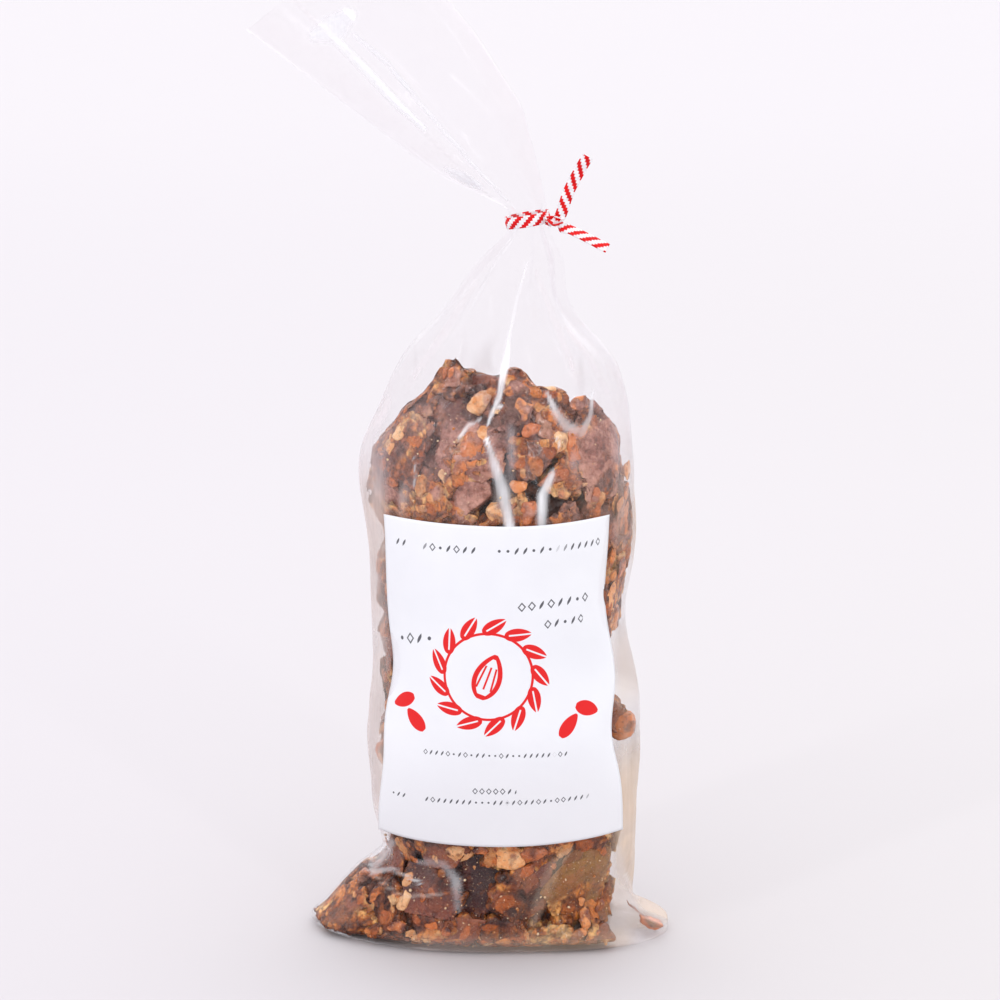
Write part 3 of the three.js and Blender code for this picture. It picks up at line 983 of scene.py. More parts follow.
def nut_mesh(seed, length, width, shade):
    """A chopped almond, lying flat at the origin. Lengths are in millimetres."""
    rng = random.Random(seed)
    bm = bmesh.new()
    bmesh.ops.create_icosphere(bm, subdivisions=4, radius=1)
    for _ in range(6):
        out = Vector((rng.gauss(0, 1), rng.gauss(0, 1), rng.gauss(0, 0.6))).normalized()
        reach = rng.uniform(0.55, 0.9)
        for vertex in bm.verts:
            vertex.co -= out * max(0, vertex.co.dot(out) - reach)
    length, width = 1.15 * length, 1.15 * width
    thick = min(0.8 * width, 4.5)
    bmesh.ops.scale(bm, vec=Vector((length, width, thick)) * MM / 2, verts=bm.verts)
    mesh = mesh_from(bm, "nut")
    points, normals = points_of(mesh), points_of(mesh, "normal")
    lift = 0.6 * bumps(points, 2.6 * MM, seed) + 0.3 * bumps(points, 1.1 * MM, seed + 1)
    bare = np.clip(0.9 + 0.8 * layered(points, 3.5 * MM, 2, seed + 2), 0, 1)
    set_points(mesh, points + normals * lift[:, None] * MM)
    values = {"nut": bare, "shade": shade, "crust": 0, "chip": 0.5, "crease_shade": 0, "tone": rng.random()}
    for name, value in values.items():
        set_attribute(mesh, name, np.full(len(points), value))
    return mesh


def placed_nuts(rows, seed):
    """Almond bits that show in the skin of the pile, each just behind the film."""
    made = []
    for number, (x, z, length, width, spin, shade) in enumerate(rows):
        spot, normal = front_at(x, z)
        nut = nut_mesh(seed + number, length, width, shade)
        at = (spot - normal * (0.4 * width + 0.7) * MM) / MM
        made.append(settle(nut, at, normal, math.radians(spin), loose=True))
    return made


almonds = placed_nuts(NUTS_OVER_LABEL, 800) + placed_nuts(NUTS_UNDER_LABEL, 850)
print(len(almonds), "almond bits show in the skin of the pile")

# %% [markdown]
# ## The pile
# What lies in the ears is put at given places. Large plain pieces up the middle close the bag to sight, so
# that the gaps in the lining are dark. Then each kind is joined to one piece of the scene.

# %% The pile
CORE_COUNT = 7
CORE_STEP = 25
CORE_SIZE = (46, 34, 26)
CORE_LOOK = {"nuts": 20, "nut_size": 4, "crust": 0.6, "tone": 0.3, "voxel": VOXEL_PLAIN}
EAR_NUT_SIZE = 3.4


def ear_pieces():
    """Pieces and almond bits at given places, apart from the pile."""
    made = []
    for number, row in enumerate(EAR_PIECES):
        x, y, z, length, width, thick, faces, spin, nuts, crust, tone = row
        piece = brittle_piece(700 + number, length, width, thick, nuts, EAR_NUT_SIZE, crust, tone)
        made.append(settle(piece, (x, y, z), faces, math.radians(spin), loose=True))
    for number, (x, y, z, length, width, spin, shade) in enumerate(LOOSE_BITS):
        nut = nut_mesh(790 + number, length, width, shade)
        made.append(settle(nut, (x, y, z), (0, -1, 0.3), math.radians(spin), loose=True))
    return made


def core_pieces():
    """Large plain pieces up the middle of the bag."""
    made = []
    for i in range(CORE_COUNT):
        piece = brittle_piece(500 + i, *CORE_SIZE, **CORE_LOOK)
        at = (rng.uniform(-14, 14), rng.uniform(-4, 6), 18 + i * CORE_STEP)
        faces = [rng.uniform(-1, 1) for _ in range(3)]
        made.append(settle(piece, at, faces))
    return made


half = len(lining) // 2
pile = [
    joined("brittle_over_label", window_pieces(TOP_WINDOW, 300), brittle),
    joined("brittle_under_label", window_pieces(LOW_WINDOW, 400) + ear_pieces(), brittle),
    joined("brittle_beside_label", window_pieces(SIDE_STRIPS, 450), brittle),
    joined("almond_bits", almonds, brittle),
    joined("brittle_lining_low", lining[:half], brittle),
    joined("brittle_lining_high", lining[half:], brittle),
    joined("brittle_core", core_pieces(), brittle),
]
print("the pile is", len(pile), "pieces of the scene")

# %% [markdown]
# ## Stations along the film
# The film is a tube whose cross-sections lean with the neck. Each station gives the left and right edge of
# a section, x then z, in millimetres. Rays from the section's middle find the solid's skin, so the film
# follows it all round.

# %% Stations along the film
SECTIONS = [
    (-62, 0.4, 55, 0.4), (-68, 2.5, 60.5, 3), (-62.5, 8.5, 50, 7), (-57.5, 15, 45.8, 11),
    (-50, 22.5, 46.3, 20), (-40.5, 28, 47.8, 29), (-45, 50, 48, 50), (-46, 75, 49, 75),
    (-43.4, 111, 43.8, 111), (-46.8, 150, 46.3, 150), (-47.3, 173, 45, 175), (-41.5, 186, 43.8, 187),
    (-34, 203, 38.2, 203), (-20.5, 218, 25, 218), (-14, 227, 22.3, 226), (-7.3, 236, 21.2, 236),
    (2.6, 245, 15.7, 245.4), (2.6, 252.4, 15.7, 253), (-21.2, 264, 11.8, 270), (-38, 277, 7.6, 286),
    (-60, 293, -8, 309), (-83.2, 310.4, -38.7, 345.6),
]
COLUMNS = 280
ROWS = 300
CAP_ROWS = 8
TIE_STATION = 17
HALF_DEPTHS = (5, 8, 10, 11, 10)  # of the film above the tie, station by station


def section_rows():
    """The left and right edges of every row of the film, evenly spaced along it."""
    table = np.array(SECTIONS, float) * MM
    left, right = table[:, :2], table[:, 2:]
    step_left = np.linalg.norm(np.diff(left, axis=0), axis=1)
    step_right = np.linalg.norm(np.diff(right, axis=0), axis=1)
    run = np.concatenate([[0], np.cumsum(np.maximum(step_left, step_right))])
    at = np.linspace(0, run[-1], ROWS - CAP_ROWS + 1)
    return read_off(at, run, table), np.interp(at, run, np.arange(len(SECTIONS)))


def ring(edges, station):
    """Points of the solid's skin all round one section, evenly spaced along it.

    Above the tie the solid is hollowed by the open mouth, so there the section is drawn as an oval.
    """
    left = Vector((edges[0], 0, edges[1]))
    right = Vector((edges[2], 0, edges[3]))
    centre = (left + right) / 2
    across = (right - left) / 2
    over_tie = station > TIE_STATION
    if over_tie:
        depth = np.interp(station - TIE_STATION, range(len(HALF_DEPTHS)), HALF_DEPTHS) * MM
    else:
        depth = max(0.6 * across.length, 5 * MM)
    found = []
    for turn in np.linspace(0, math.tau, 2 * COLUMNS, endpoint=False):
        along = across * math.cos(turn) + Vector((0, depth * math.sin(turn), 0))
        spot = None if over_tie else bag_tree.ray_cast(centre, along)[0]
        found.append(spot if spot is not None else centre + along)
    found.append(found[0])
    found = np.array(found)
    run = run_along(found)
    return read_off(np.linspace(0, run[-1], COLUMNS + 1), run, found)


edge_rows, station_of_row = section_rows()
skin = np.stack([ring(edges, station) for edges, station in zip(edge_rows, station_of_row)])
# The bottom is closed by rings that shrink towards its middle, a little above the ground.
base = skin[0]
middle = base.mean(axis=0)
cap = []
for k in range(CAP_ROWS):
    share = (k / CAP_ROWS) ** 0.8
    row = middle + (base - middle) * share
    row[:, 2] = 0.15 * MM
    cap.append(row)
skin = np.concatenate([np.stack(cap), skin])
station = np.concatenate([np.zeros(CAP_ROWS), station_of_row])
print("film grid", skin.shape)

# %% [markdown]
# ## The film settles on the brittle
# Film is pulled over corners and stays taut between them. A cloth simulation could find that shape, slowly.
# Here each point of the film is let in towards the brittle as far as it can go, and then the sheet is
# smoothed again and again, never past what it rests on, which is quick and the same each run.

# %% The film settles on the brittle


def smoothed(grid, times, share=0.5):
    """Averages each point of the film with its neighbours. The tube closes round, and its ends stay."""
    for _ in range(times):
        body = grid[:, :-1]
        beside = (np.roll(body, 1, axis=1) + np.roll(body, -1, axis=1)) / 2
        above = body.copy()
        above[1:-1] = (body[2:] + body[:-2]) / 2
        body = body + share * ((beside + above) / 2 - body)
        body[0], body[-1] = grid[0, :-1], grid[-1, :-1]
        grid = np.concatenate([body, body[:, :1]], axis=1)
    return grid


def grid_normals(grid):
    """Outward normals of the film."""
    body = grid[:, :-1]
    round_step = np.roll(body, -1, axis=1) - np.roll(body, 1, axis=1)
    up_step = np.gradient(body, axis=0)
    normal = np.cross(round_step, up_step)
    normal /= np.maximum(np.linalg.norm(normal, axis=2, keepdims=True), 1e-12)
    return np.concatenate([normal, normal[:, :1]], axis=1)


CAP = CAP_ROWS + 1
film = skin.copy()
film[CAP:] = smoothed(skin[CAP - 1 :], 10)[1:]
normals = grid_normals(film)

depsgraph = bpy.context.evaluated_depsgraph_get()
pile_trees = [BVHTree.FromObject(piece, depsgraph) for piece in pile]
LET_IN = 5.5 * MM
ABOVE = 0.45 * MM
LABEL_Z = 96.6 * MM
SETTLINGS = 60
RAY_FROM = 2 * MM
RAY_REACH = 12 * MM


def room_inward(point, normal):
    """How far the film may move in before it meets the brittle."""
    origin = Vector(point) + Vector(normal) * RAY_FROM
    found = [tree.ray_cast(origin, -Vector(normal), RAY_REACH)[3] for tree in pile_trees]
    return min([away for away in found if away is not None], default=1.0) - RAY_FROM


x, y, z = np.moveaxis(film, 2, 0)
let = LET_IN * band((4 * MM, 14 * MM), (185 * MM, 215 * MM), z) * step(0.35, 0.8, np.abs(normals[:, :, 1]))
let[(y < 0) & (np.abs(x) < 42 * MM) & (np.abs(z - LABEL_Z) < 56 * MM)] = 0.1 * MM
room = np.zeros(film.shape[:2])
for r, c in np.ndindex(*room.shape):
    if let[r, c] > 0 and c < COLUMNS:
        room[r, c] = min(room_inward(film[r, c], normals[r, c]) - ABOVE, let[r, c])
room[:, -1] = room[:, 0]
room = np.maximum(room, -1 * MM)
sunk = room.copy()
for _ in range(SETTLINGS):
    sunk = np.minimum(smoothed(sunk[:, :, None], 1, 1.0)[:, :, 0], room)
film = film - normals * sunk[:, :, None]
print("film sinks up to", round(float(sunk.max()) / MM, 1), "mm")

# %% [markdown]
# ## Creases
# The gathers run down from the tie and fade out on the shoulders, and the film above the tie fans out in
# folds. Small crinkles cross everything. Each is a ridge: a random value folded at zero gives a sharp line.
# The flat coordinates run round the tube and along it, so that bumps drawn out in them follow the film.

# %% Creases


def ridges(points, width, seed):
    """Sharp creases: 1 along them, falling to 0 between them."""
    return 1 - np.clip(np.abs(bumps(points, width, seed)) * 2.2, 0, 1)


rows, columns = film.shape[:2]
turn = np.arange(columns) / COLUMNS * math.tau
flat = np.broadcast_arrays(np.cos(turn)[None], np.sin(turn)[None], station[:, None] * 0.25)
flat = np.stack(flat, axis=2).reshape(-1, 3)
place = film.reshape(-1, 3)
grid_station = np.repeat(station, columns)

near_neck = band((11, 15.5), (15.6, 17), grid_station)
above_tie = step(17, 18.5, grid_station)
gathers = bumps(flat, 0.3, 11) + 0.35 * bumps(flat, 0.13, 12)
fan = 0.9 * bumps(flat * (1, 1, 0.5), 0.5, 13) + 0.5 * (ridges(flat * (1, 1, 0.4), 0.4, 14) - 0.4)
crinkle = ridges(place * (1, 1, 0.6), 18 * MM, 15) ** 2 + 0.3 * ridges(place, 8 * MM, 16) ** 2 - 0.3
lift = (
    0.75 * near_neck * gathers
    + 1.6 * above_tie * fan
    + 0.24 * crinkle * band((2, 4), (12, 15), grid_station)
).reshape(rows, columns)
print("gathers and crinkles stand", round(float(lift.max()), 2), "mm at most")

# %% [markdown]
# ## Folds
# A fold in clear film shows as a bright line, because its crest mirrors the light. The large ones are drawn
# one by one on the front. Strong ones become the mark "glare" on the film's points, faint ones "milk".

# %% Folds
GLARE_OVER = 0.3  # milkier folds than this shine
# x, height and half width along each fold, then how milky and how high it is.
FOLDS = [
    ([(9, 236, 0.3), (5.5, 224, 0.5), (3, 212, 0.5), (1.8, 204, 0.7)], 0.35, 0.8),
    ([(3, 211, 0.3), (1.6, 202.7, 0.9), (-0.3, 193.5, 0.7), (-3.9, 185.5, 0.3)], 0.85, 1.0),
    ([(-4.6, 180.8, 0.4), (-2.0, 172.8, 1.1), (1.0, 163.4, 1.4), (3.6, 150, 1.1)], 0.95, 0.7),
    ([(-13.5, 180.5, 0.3), (-10.5, 184.5, 0.5), (-6.5, 186.5, 0.3)], 0.6, 0.4),
    (
        [(15.3, 194.8, 0.4), (18.3, 188.1, 0.9), (22.2, 183.2, 1.3)]
        + [(27, 180.8, 1.2), (30, 186, 0.6), (30.6, 193, 0.4)],
        0.62,
        0.6,
    ),
    ([(17.4, 168.8, 0.7), (14.1, 162, 1.3), (13.5, 150, 1.1)], 0.72, 0.5),
    ([(37.6, 188, 1.4), (40, 168, 2.0), (40.6, 140, 1.6)], 0.14, 0.3),
    ([(-28.6, 174, 0.15), (-27.8, 167, 0.3), (-28.8, 161, 0.15)], 0.45, 0.3),
    ([(-2, 191.5, 0.15), (0.2, 190.2, 0.35), (1.6, 191.4, 0.15)], 0.7, 0.3),
    ([(18.4, 180.5, 0.15), (19.8, 178.2, 0.35), (19.0, 175.5, 0.15)], 0.6, 0.3),
    ([(-36, 196, 2.0), (-42.3, 175, 4.0), (-43.2, 140, 4.0)], 0.14, 0.3),
    ([(-28.1, 30.9, 0.5), (-19.7, 31.8, 1.1), (-15, 26, 1.5), (-14.3, 15.9, 0.7)], 0.34, 0.6),
    ([(24, 38, 0.8), (17.7, 31, 2.0), (13.6, 18.4, 2.0), (11.3, 11, 0.8)], 0.24, 0.5),
    ([(-45.9, 30.2, 0.4), (-44.6, 22.9, 0.6), (-37, 25.8, 0.5), (-27.4, 23.6, 0.4)], 0.5, 0.9),
    ([(-44, 22.9, 0.4), (-34, 18.5, 0.5), (-20, 21, 0.4)], 0.3, 0.6),
    ([(-36.9, 36, 0.9), (-39.7, 29.4, 1.3), (-43.9, 23.6, 0.8)], 0.35, 0.6),
    ([(43.8, 36, 2.0), (46, 20.7, 1.6), (47, 12, 0.8)], 0.24, 0.5),
    ([(43.5, 22, 0.4), (46.5, 13, 0.4), (49, 9, 0.3)], 0.35, 0.6),
    ([(22, 214, 0.5), (29, 205, 0.8), (36, 192, 0.6)], 0.25, 0.7),
    ([(-8, 228, 0.8), (-20, 210, 1.2), (-31, 194, 1.0)], 0.22, 0.8),
    ([(12, 232, 0.5), (19, 214, 0.9), (26, 197, 0.6)], 0.22, 0.8),
    ([(-57.3, 312.4, 1.0), (-44.5, 299.4, 1.1), (-33.2, 287.3, 1.0), (-24.7, 279.5, 0.6)], 0.85, 0.7),
    (
        [(-46.9, 309.5, 0.5), (-36.6, 300.8, 0.6), (-23, 284, 0.6), (-9.4, 268.4, 0.5), (2, 256, 0.4)],
        0.7,
        0.7,
    ),
    ([(-17.1, 265.8, 0.9), (-12.5, 263.5, 1.6), (-7.1, 260.4, 0.9)], 0.95, 0.5),
    ([(-60, 309.5, 1.4), (-54, 311.6, 3.2), (-48.6, 316.4, 1.6)], 0.9, 0.4),
    ([(-22, 336, 5.5), (-8, 315, 6), (4, 290, 5.5), (10.5, 268, 4), (13, 256, 1.5)], 0.17, 0.3),
    ([(-76, 312, 5), (-55, 296, 5), (-30, 276, 4), (-8, 260, 3)], 0.12, 0.3),
    ([(-67.5, 322, 0.6), (-50.3, 304, 0.8), (-26.5, 280, 0.8), (-3.2, 257, 0.5)], 0.2, 1.2),
]


def near_fold(x, z, fold):
    """How near each point is to a fold: 1 on its line, 0 outside its width."""
    line = np.array(fold) * MM
    line = read_off(np.linspace(0, len(line) - 1, 12 * len(line)), range(len(line)), line)
    share = np.zeros(len(x))
    for fold_x, fold_z, width in line:
        share = np.maximum(share, 1 - np.hypot(x - fold_x, z - fold_z) / (1.9 * width))
    return share


milk = np.zeros(len(place))
glare = np.zeros(len(place))
ridge = np.zeros(len(place))
front = np.flatnonzero(place[:, 1] < -1 * MM)
for fold, milky, high in FOLDS:
    share = near_fold(place[front, 0], place[front, 2], fold)
    broken = 0.8 + 0.35 * bumps(place[front], 5 * MM, 23)
    layer = glare if milky > GLARE_OVER else milk
    layer[front] = np.maximum(layer[front], step(0, 0.75, share) * milky * broken)
    ridge[front] = np.maximum(ridge[front], share**1.5 * high)
print(len(FOLDS), "folds cross the front")

# %% [markdown]
# ## Haze
# Film that crumbs have rubbed is milky: in streaks on the shoulders, under the bag, and most of all at its
# two sides, where it is seen edge on. That last haze is a mark of its own, "side", because the shader
# weakens it where the film faces the viewer.

# %% Haze
x, y, z = place.T / MM
top_fades = (196, 215)

# Upright streaks, strongest on the shoulders, and a faint veil over them.
streaks = bumps(place * (1, 1, 0.22), 9 * MM, 21) + 0.6 * bumps(place * (1, 1, 0.3), 4 * MM, 22)
streaks = step(0.2, 0.95, streaks) * (1 - 0.7 * step(34, 42, x))
shoulder = band((120, 165), top_fades, z)
milk += streaks * (0.04 + 0.4 * shoulder) * (z < 250)
veil = 0.02 + 0.04 * step(0, -28, x) + 0.04 * step(18, 34, x)
milk += veil * shoulder * (1 - step(*top_fades, z))

# The layers of the seam under the bag, and the empty right ear.
milk += 0.22 * (1 - step(3, 10, z)) * band((-45, -20), (42, 48), x)
in_ear = (1 - step(9, 18, z)) * step(44, 51, x)
milk += 0.4 * in_ear * step(-8, -4, y)

# Height in millimetres, then how milky the left and right sides are.
SIDE_HAZE = [
    (8, 0.0, 0.0), (18, 0.0, 0.32), (36, 0.05, 0.44), (48, 0.4, 0.58), (60, 0.42, 0.56), (74, 0.42, 0.12),
    (82, 0.42, 0.06), (90, 0.4, 0.3), (106, 0.34, 0.3), (114, 0.4, 0.04), (150, 0.34, 0.04),
    (170, 0.14, 0.08), (200, 0.05, 0.08), (215, 0.0, 0.0),
]
haze_z, left_haze, right_haze = np.transpose(SIDE_HAZE)
left_haze = np.interp(z, haze_z, left_haze) * step(-35, -41, x)
right_haze = np.interp(z, haze_z, right_haze) * step(36, 42, x)
right_haze += 0.34 * step(43.5, 46.5, x) * band((104, 112), (150, 172), z)
side_haze = (left_haze + right_haze) * (0.95 + 0.3 * bumps(place * (1, 1, 0.5), 12 * MM, 24))

# Folds lift the film a little, and the tube closes round.
lift += ridge.reshape(rows, columns) * 0.6
lift[:, -1] = lift[:, 0]
film = film + grid_normals(film) * (lift * MM)[:, :, None]
marks = {"milk": milk, "side": side_haze, "glare": glare}
for name, values in marks.items():
    marks[name] = values.reshape(rows, columns)
    marks[name][:, -1] = marks[name][:, 0]
print("folds and all, the film stands out", round(float(lift.max()), 2), "mm at most")

# %% [markdown]
# ## The film's mesh
# A flat grid of quads is wrapped onto the tube's points, and its two long sides are welded. Label and tie
# are made of such sheets too.

# %% The film's mesh


def sheet_from(grid, marks, welded=False):
    """A grid of points as a sheet of quads that also carries marks on each point. Welded, it is a tube."""
    rows, columns = grid.shape[:2]
    bm = bmesh.new()
    bmesh.ops.create_grid(bm, x_segments=columns - 1, y_segments=rows - 1, size=0.5)
    layers = {mark: bm.verts.layers.float.new(mark) for mark in marks}
    for vertex in bm.verts:
        column = round((vertex.co.x + 0.5) * (columns - 1))
        row = round((vertex.co.y + 0.5) * (rows - 1))
        vertex.co = grid[row, column]
        for mark, layer in layers.items():
            vertex[layer] = marks[mark][row, column]
    if welded:
        bmesh.ops.remove_doubles(bm, verts=bm.verts, dist=1e-6)
    return bm


tube = sheet_from(film, marks, welded=True)
bmesh.ops.recalc_face_normals(tube, faces=tube.faces)
film_mesh = mesh_from(tube, "film")
print("the film has", len(film_mesh.polygons), "faces")

# %% [markdown]
# ## The finish of film
# Clear film lets light straight through. It mirrors the room where it is seen edge on, and scatters light
# where it is milky. A glass shader would bend what lies behind, which thin film doesn't, so a transparent
# and a mirroring surface are blended by angle. Fine crumples break up the mirror image, and long scratches
# the milk.

# %% The finish of film


def film_finish():
    """Clear and mirroring, with haze where it is milky and bright folds."""
    s = material("clear_film")
    crumple = s.noise(140, 4, 0.55)
    dust = s.noise(2600, 2, 0.5)
    normal = s.bump(crumple, 0.4 * MM, 0.5)
    clear = s.node("ShaderNodeBsdfTransparent", {"Color": (0.993, 0.99, 0.992, 1)})["BSDF"]
    shine = s.principled(
        base_color=(0.96, 0.95, 0.98, 1),
        roughness=0.09,
        ior=1.5,
        specular_ior_level=1.0,
        normal=normal,
        metallic=1.0,
    )
    split = s.node("ShaderNodeSeparateXYZ", [s.place()])
    warm = s.mix(split["X"].ramp(-0.03, 0.03), (0.85, 0.7, 0.63, 1), (0.8, 0.62, 0.46, 1))
    tint = s.mix(split["Z"].ramp(0.15, 0.175), warm, (0.84, 0.77, 0.8, 1))
    haze = s.principled(base_color=tint, roughness=0.6, normal=normal)
    fold = s.principled(base_color=(0.96, 0.97, 1.0, 1), roughness=0.4, metallic=0.5, normal=normal)
    facing = s.node("ShaderNodeLayerWeight", {"Blend": 0.5, "Normal": normal})["Facing"]
    mirror = (facing**4) * 0.62 + 0.009
    glossy = s.blend(mirror, clear, shine)
    stretched = s.node("ShaderNodeVectorMath", [s.place(), (600, 600, 35)], operation="MULTIPLY")[0]
    scratches = s.noise(1, 3, 0.6, vector=stretched)
    worn = scratches.ramp(0.35, 0.65, 0.95, 1.04)
    edge_on = facing.ramp(0.05, 0.35, 0.3, 1.0)
    milk = crumple.ramp(0.45, 0.8, 0.0, 0.02) + dust.ramp(0.7, 0.8, 0, 0.2)
    milk = milk + (s.attribute("milk") + s.attribute("side") * edge_on) * worn
    surface = s.blend(milk, glossy, haze)
    return s.finish(s.blend(s.attribute("glare") * worn, surface, fold))


bag_film = joined("film", [film_mesh], film_finish())

# %% [markdown]
# ## Label
# Paper bends one way only, so the label follows the film round the bag without stretching. Each row of the
# sheet is laid along the film from an upright middle line, by its own length of paper.

# %% Label
LABEL_WIDTH = 86 * MM
LABEL_HEIGHT = 111.5 * MM
LABEL_MIDDLE = Vector((-0.5 * MM, 0, LABEL_Z))
LABEL_LIFT = 0.55 * MM
LABEL_COLUMNS = 87
LABEL_ROWS = 113
RAYS = 185
RAYS_REACH = 46
SMOOTHINGS = 30
# Waves in the label's sides: how far in, the height of the middle and the half height, in millimetres.
LEFT_WAVES = [(2.9, 98, 11), (1.6, 68, 13)]
RIGHT_WAVES = [(2.8, 125, 15), (1.0, 150, 9), (-1.0, 99, 8), (3.0, 77, 10)]


def drawn_in(z, waves):
    """How many millimetres a side of the label is drawn in at a height."""
    return sum(deep * math.exp(-(((z / MM - middle) / half) ** 2)) for deep, middle, half in waves)


def label_row(z, offsets):
    """Points on the front of the bag at one height, these lengths of paper away from the middle line.

    Low down the paper is stiff enough to stand off the film at its sides.
    """
    across = np.linspace(-RAYS_REACH, RAYS_REACH, RAYS) * MM + LABEL_MIDDLE.x
    found = []
    for x in across:
        spot = front_at(x / MM, z / MM)[0]
        found.append(spot if spot is not None else Vector((x, 0, z)))
    found = np.array(found)
    foremost = found[:, 1].min()
    found[:, 1] = foremost + (found[:, 1] - foremost) * (0.55 + 0.45 * step(45 * MM, 95 * MM, z))
    run = run_along(found)
    run -= np.interp(LABEL_MIDDLE.x, across, run)
    row = read_off(offsets, run, found)
    side = offsets / (LABEL_WIDTH / 2)
    left_in = drawn_in(z, LEFT_WAVES)
    right_in = drawn_in(z, RIGHT_WAVES)
    row[:, 0] += (left_in * np.clip(-side, 0, 1) ** 4 - right_in * np.clip(side, 0, 1) ** 4) * MM
    low = 1 - step(40 * MM, 80 * MM, z)
    row[:, 2] += low * (np.where(side < 0, 2.4, 3.8) * side**2 - 0.5) * MM
    for drawn, towards in ((left_in, -side), (right_in, side)):
        row[:, 1] -= (drawn * band((0.5, 0.85), (0.8, 1.1), towards) * 0.5) * MM
    return row


def label_sheet():
    """The label, smoothed as stiff paper is, and lifted off the film."""
    across = np.linspace(-0.5, 0.5, LABEL_COLUMNS) * LABEL_WIDTH
    up = np.linspace(-0.5, 0.5, LABEL_ROWS) * LABEL_HEIGHT
    grid = np.stack([label_row(LABEL_MIDDLE.z + height, across) for height in up])
    for _ in range(SMOOTHINGS):
        inner = (grid[:-2, 1:-1] + grid[2:, 1:-1] + grid[1:-1, :-2] + grid[1:-1, 2:]) / 4
        grid[1:-1, 1:-1] = inner
        grid[0, 1:-1] = (grid[0, :-2] + grid[0, 2:]) / 2
        grid[-1, 1:-1] = (grid[-1, :-2] + grid[-1, 2:]) / 2
        grid[1:-1, 0] = (grid[:-2, 0] + grid[2:, 0]) / 2
        grid[1:-1, -1] = (grid[:-2, -1] + grid[2:, -1]) / 2
    places = np.meshgrid(across / MM, up / MM)
    bm = sheet_from(grid, {"across": places[0], "up": places[1]})
    bm.normal_update()
    if sum(face.normal.y for face in bm.faces) > 0:
        bmesh.ops.reverse_faces(bm, faces=bm.faces)
        bm.normal_update()
    shift = [vertex.normal * LABEL_LIFT for vertex in bm.verts]
    for vertex, move in zip(bm.verts, shift):
        vertex.co += move
    return mesh_from(bm, "label_sheet")


label_paper = label_sheet()
print("the label has", len(label_paper.polygons), "faces")

# %% [markdown]
# ## The label's print
# The print is drawn from shapes that stand for no letters: a wreath of leaves round an almond, loose
# almonds, and rows of tiny leaves, diamonds and dots. Each shape is a sum that is positive inside it, worked
# out from the place on the paper, in millimetres from its middle.

# %% The label's print
INK = (32, 32, 46)
RED = (232, 6, 10)
WREATH = {"x": -3.5, "y": 4, "radius": 17.5, "leaves": 13}
# Rows of signs: left, right, middle, half height, slope, seed and the share of gaps.
SIGN_ROWS = [
    (-38, 38, 47.5, 1.35, 0.0, 1.3, 0.36),
    (-38, -22, 19, 1.9, 0.14, 2.7, 0.0),
    (6, 33, 27.5, 1.6, 0.06, 3.1, 0.3),
    (15, 30, 20.5, 1.5, 0.06, 4.9, 0.0),
    (-26, 24, -23.5, 0.95, 0.0, 5.2, 0.36),
    (-9, 6, -36, 1.1, 0.0, 6.4, 0.0),
    (-38, 38, -40, 1.0, 0.0, 7.8, 0.34),
]
# Loose almonds: place and turn.
ALMONDS = [(24, -14, -0.7), (31, -9, -1.9), (-29, -13, 0.8), (-34.5, -7, 2.0)]


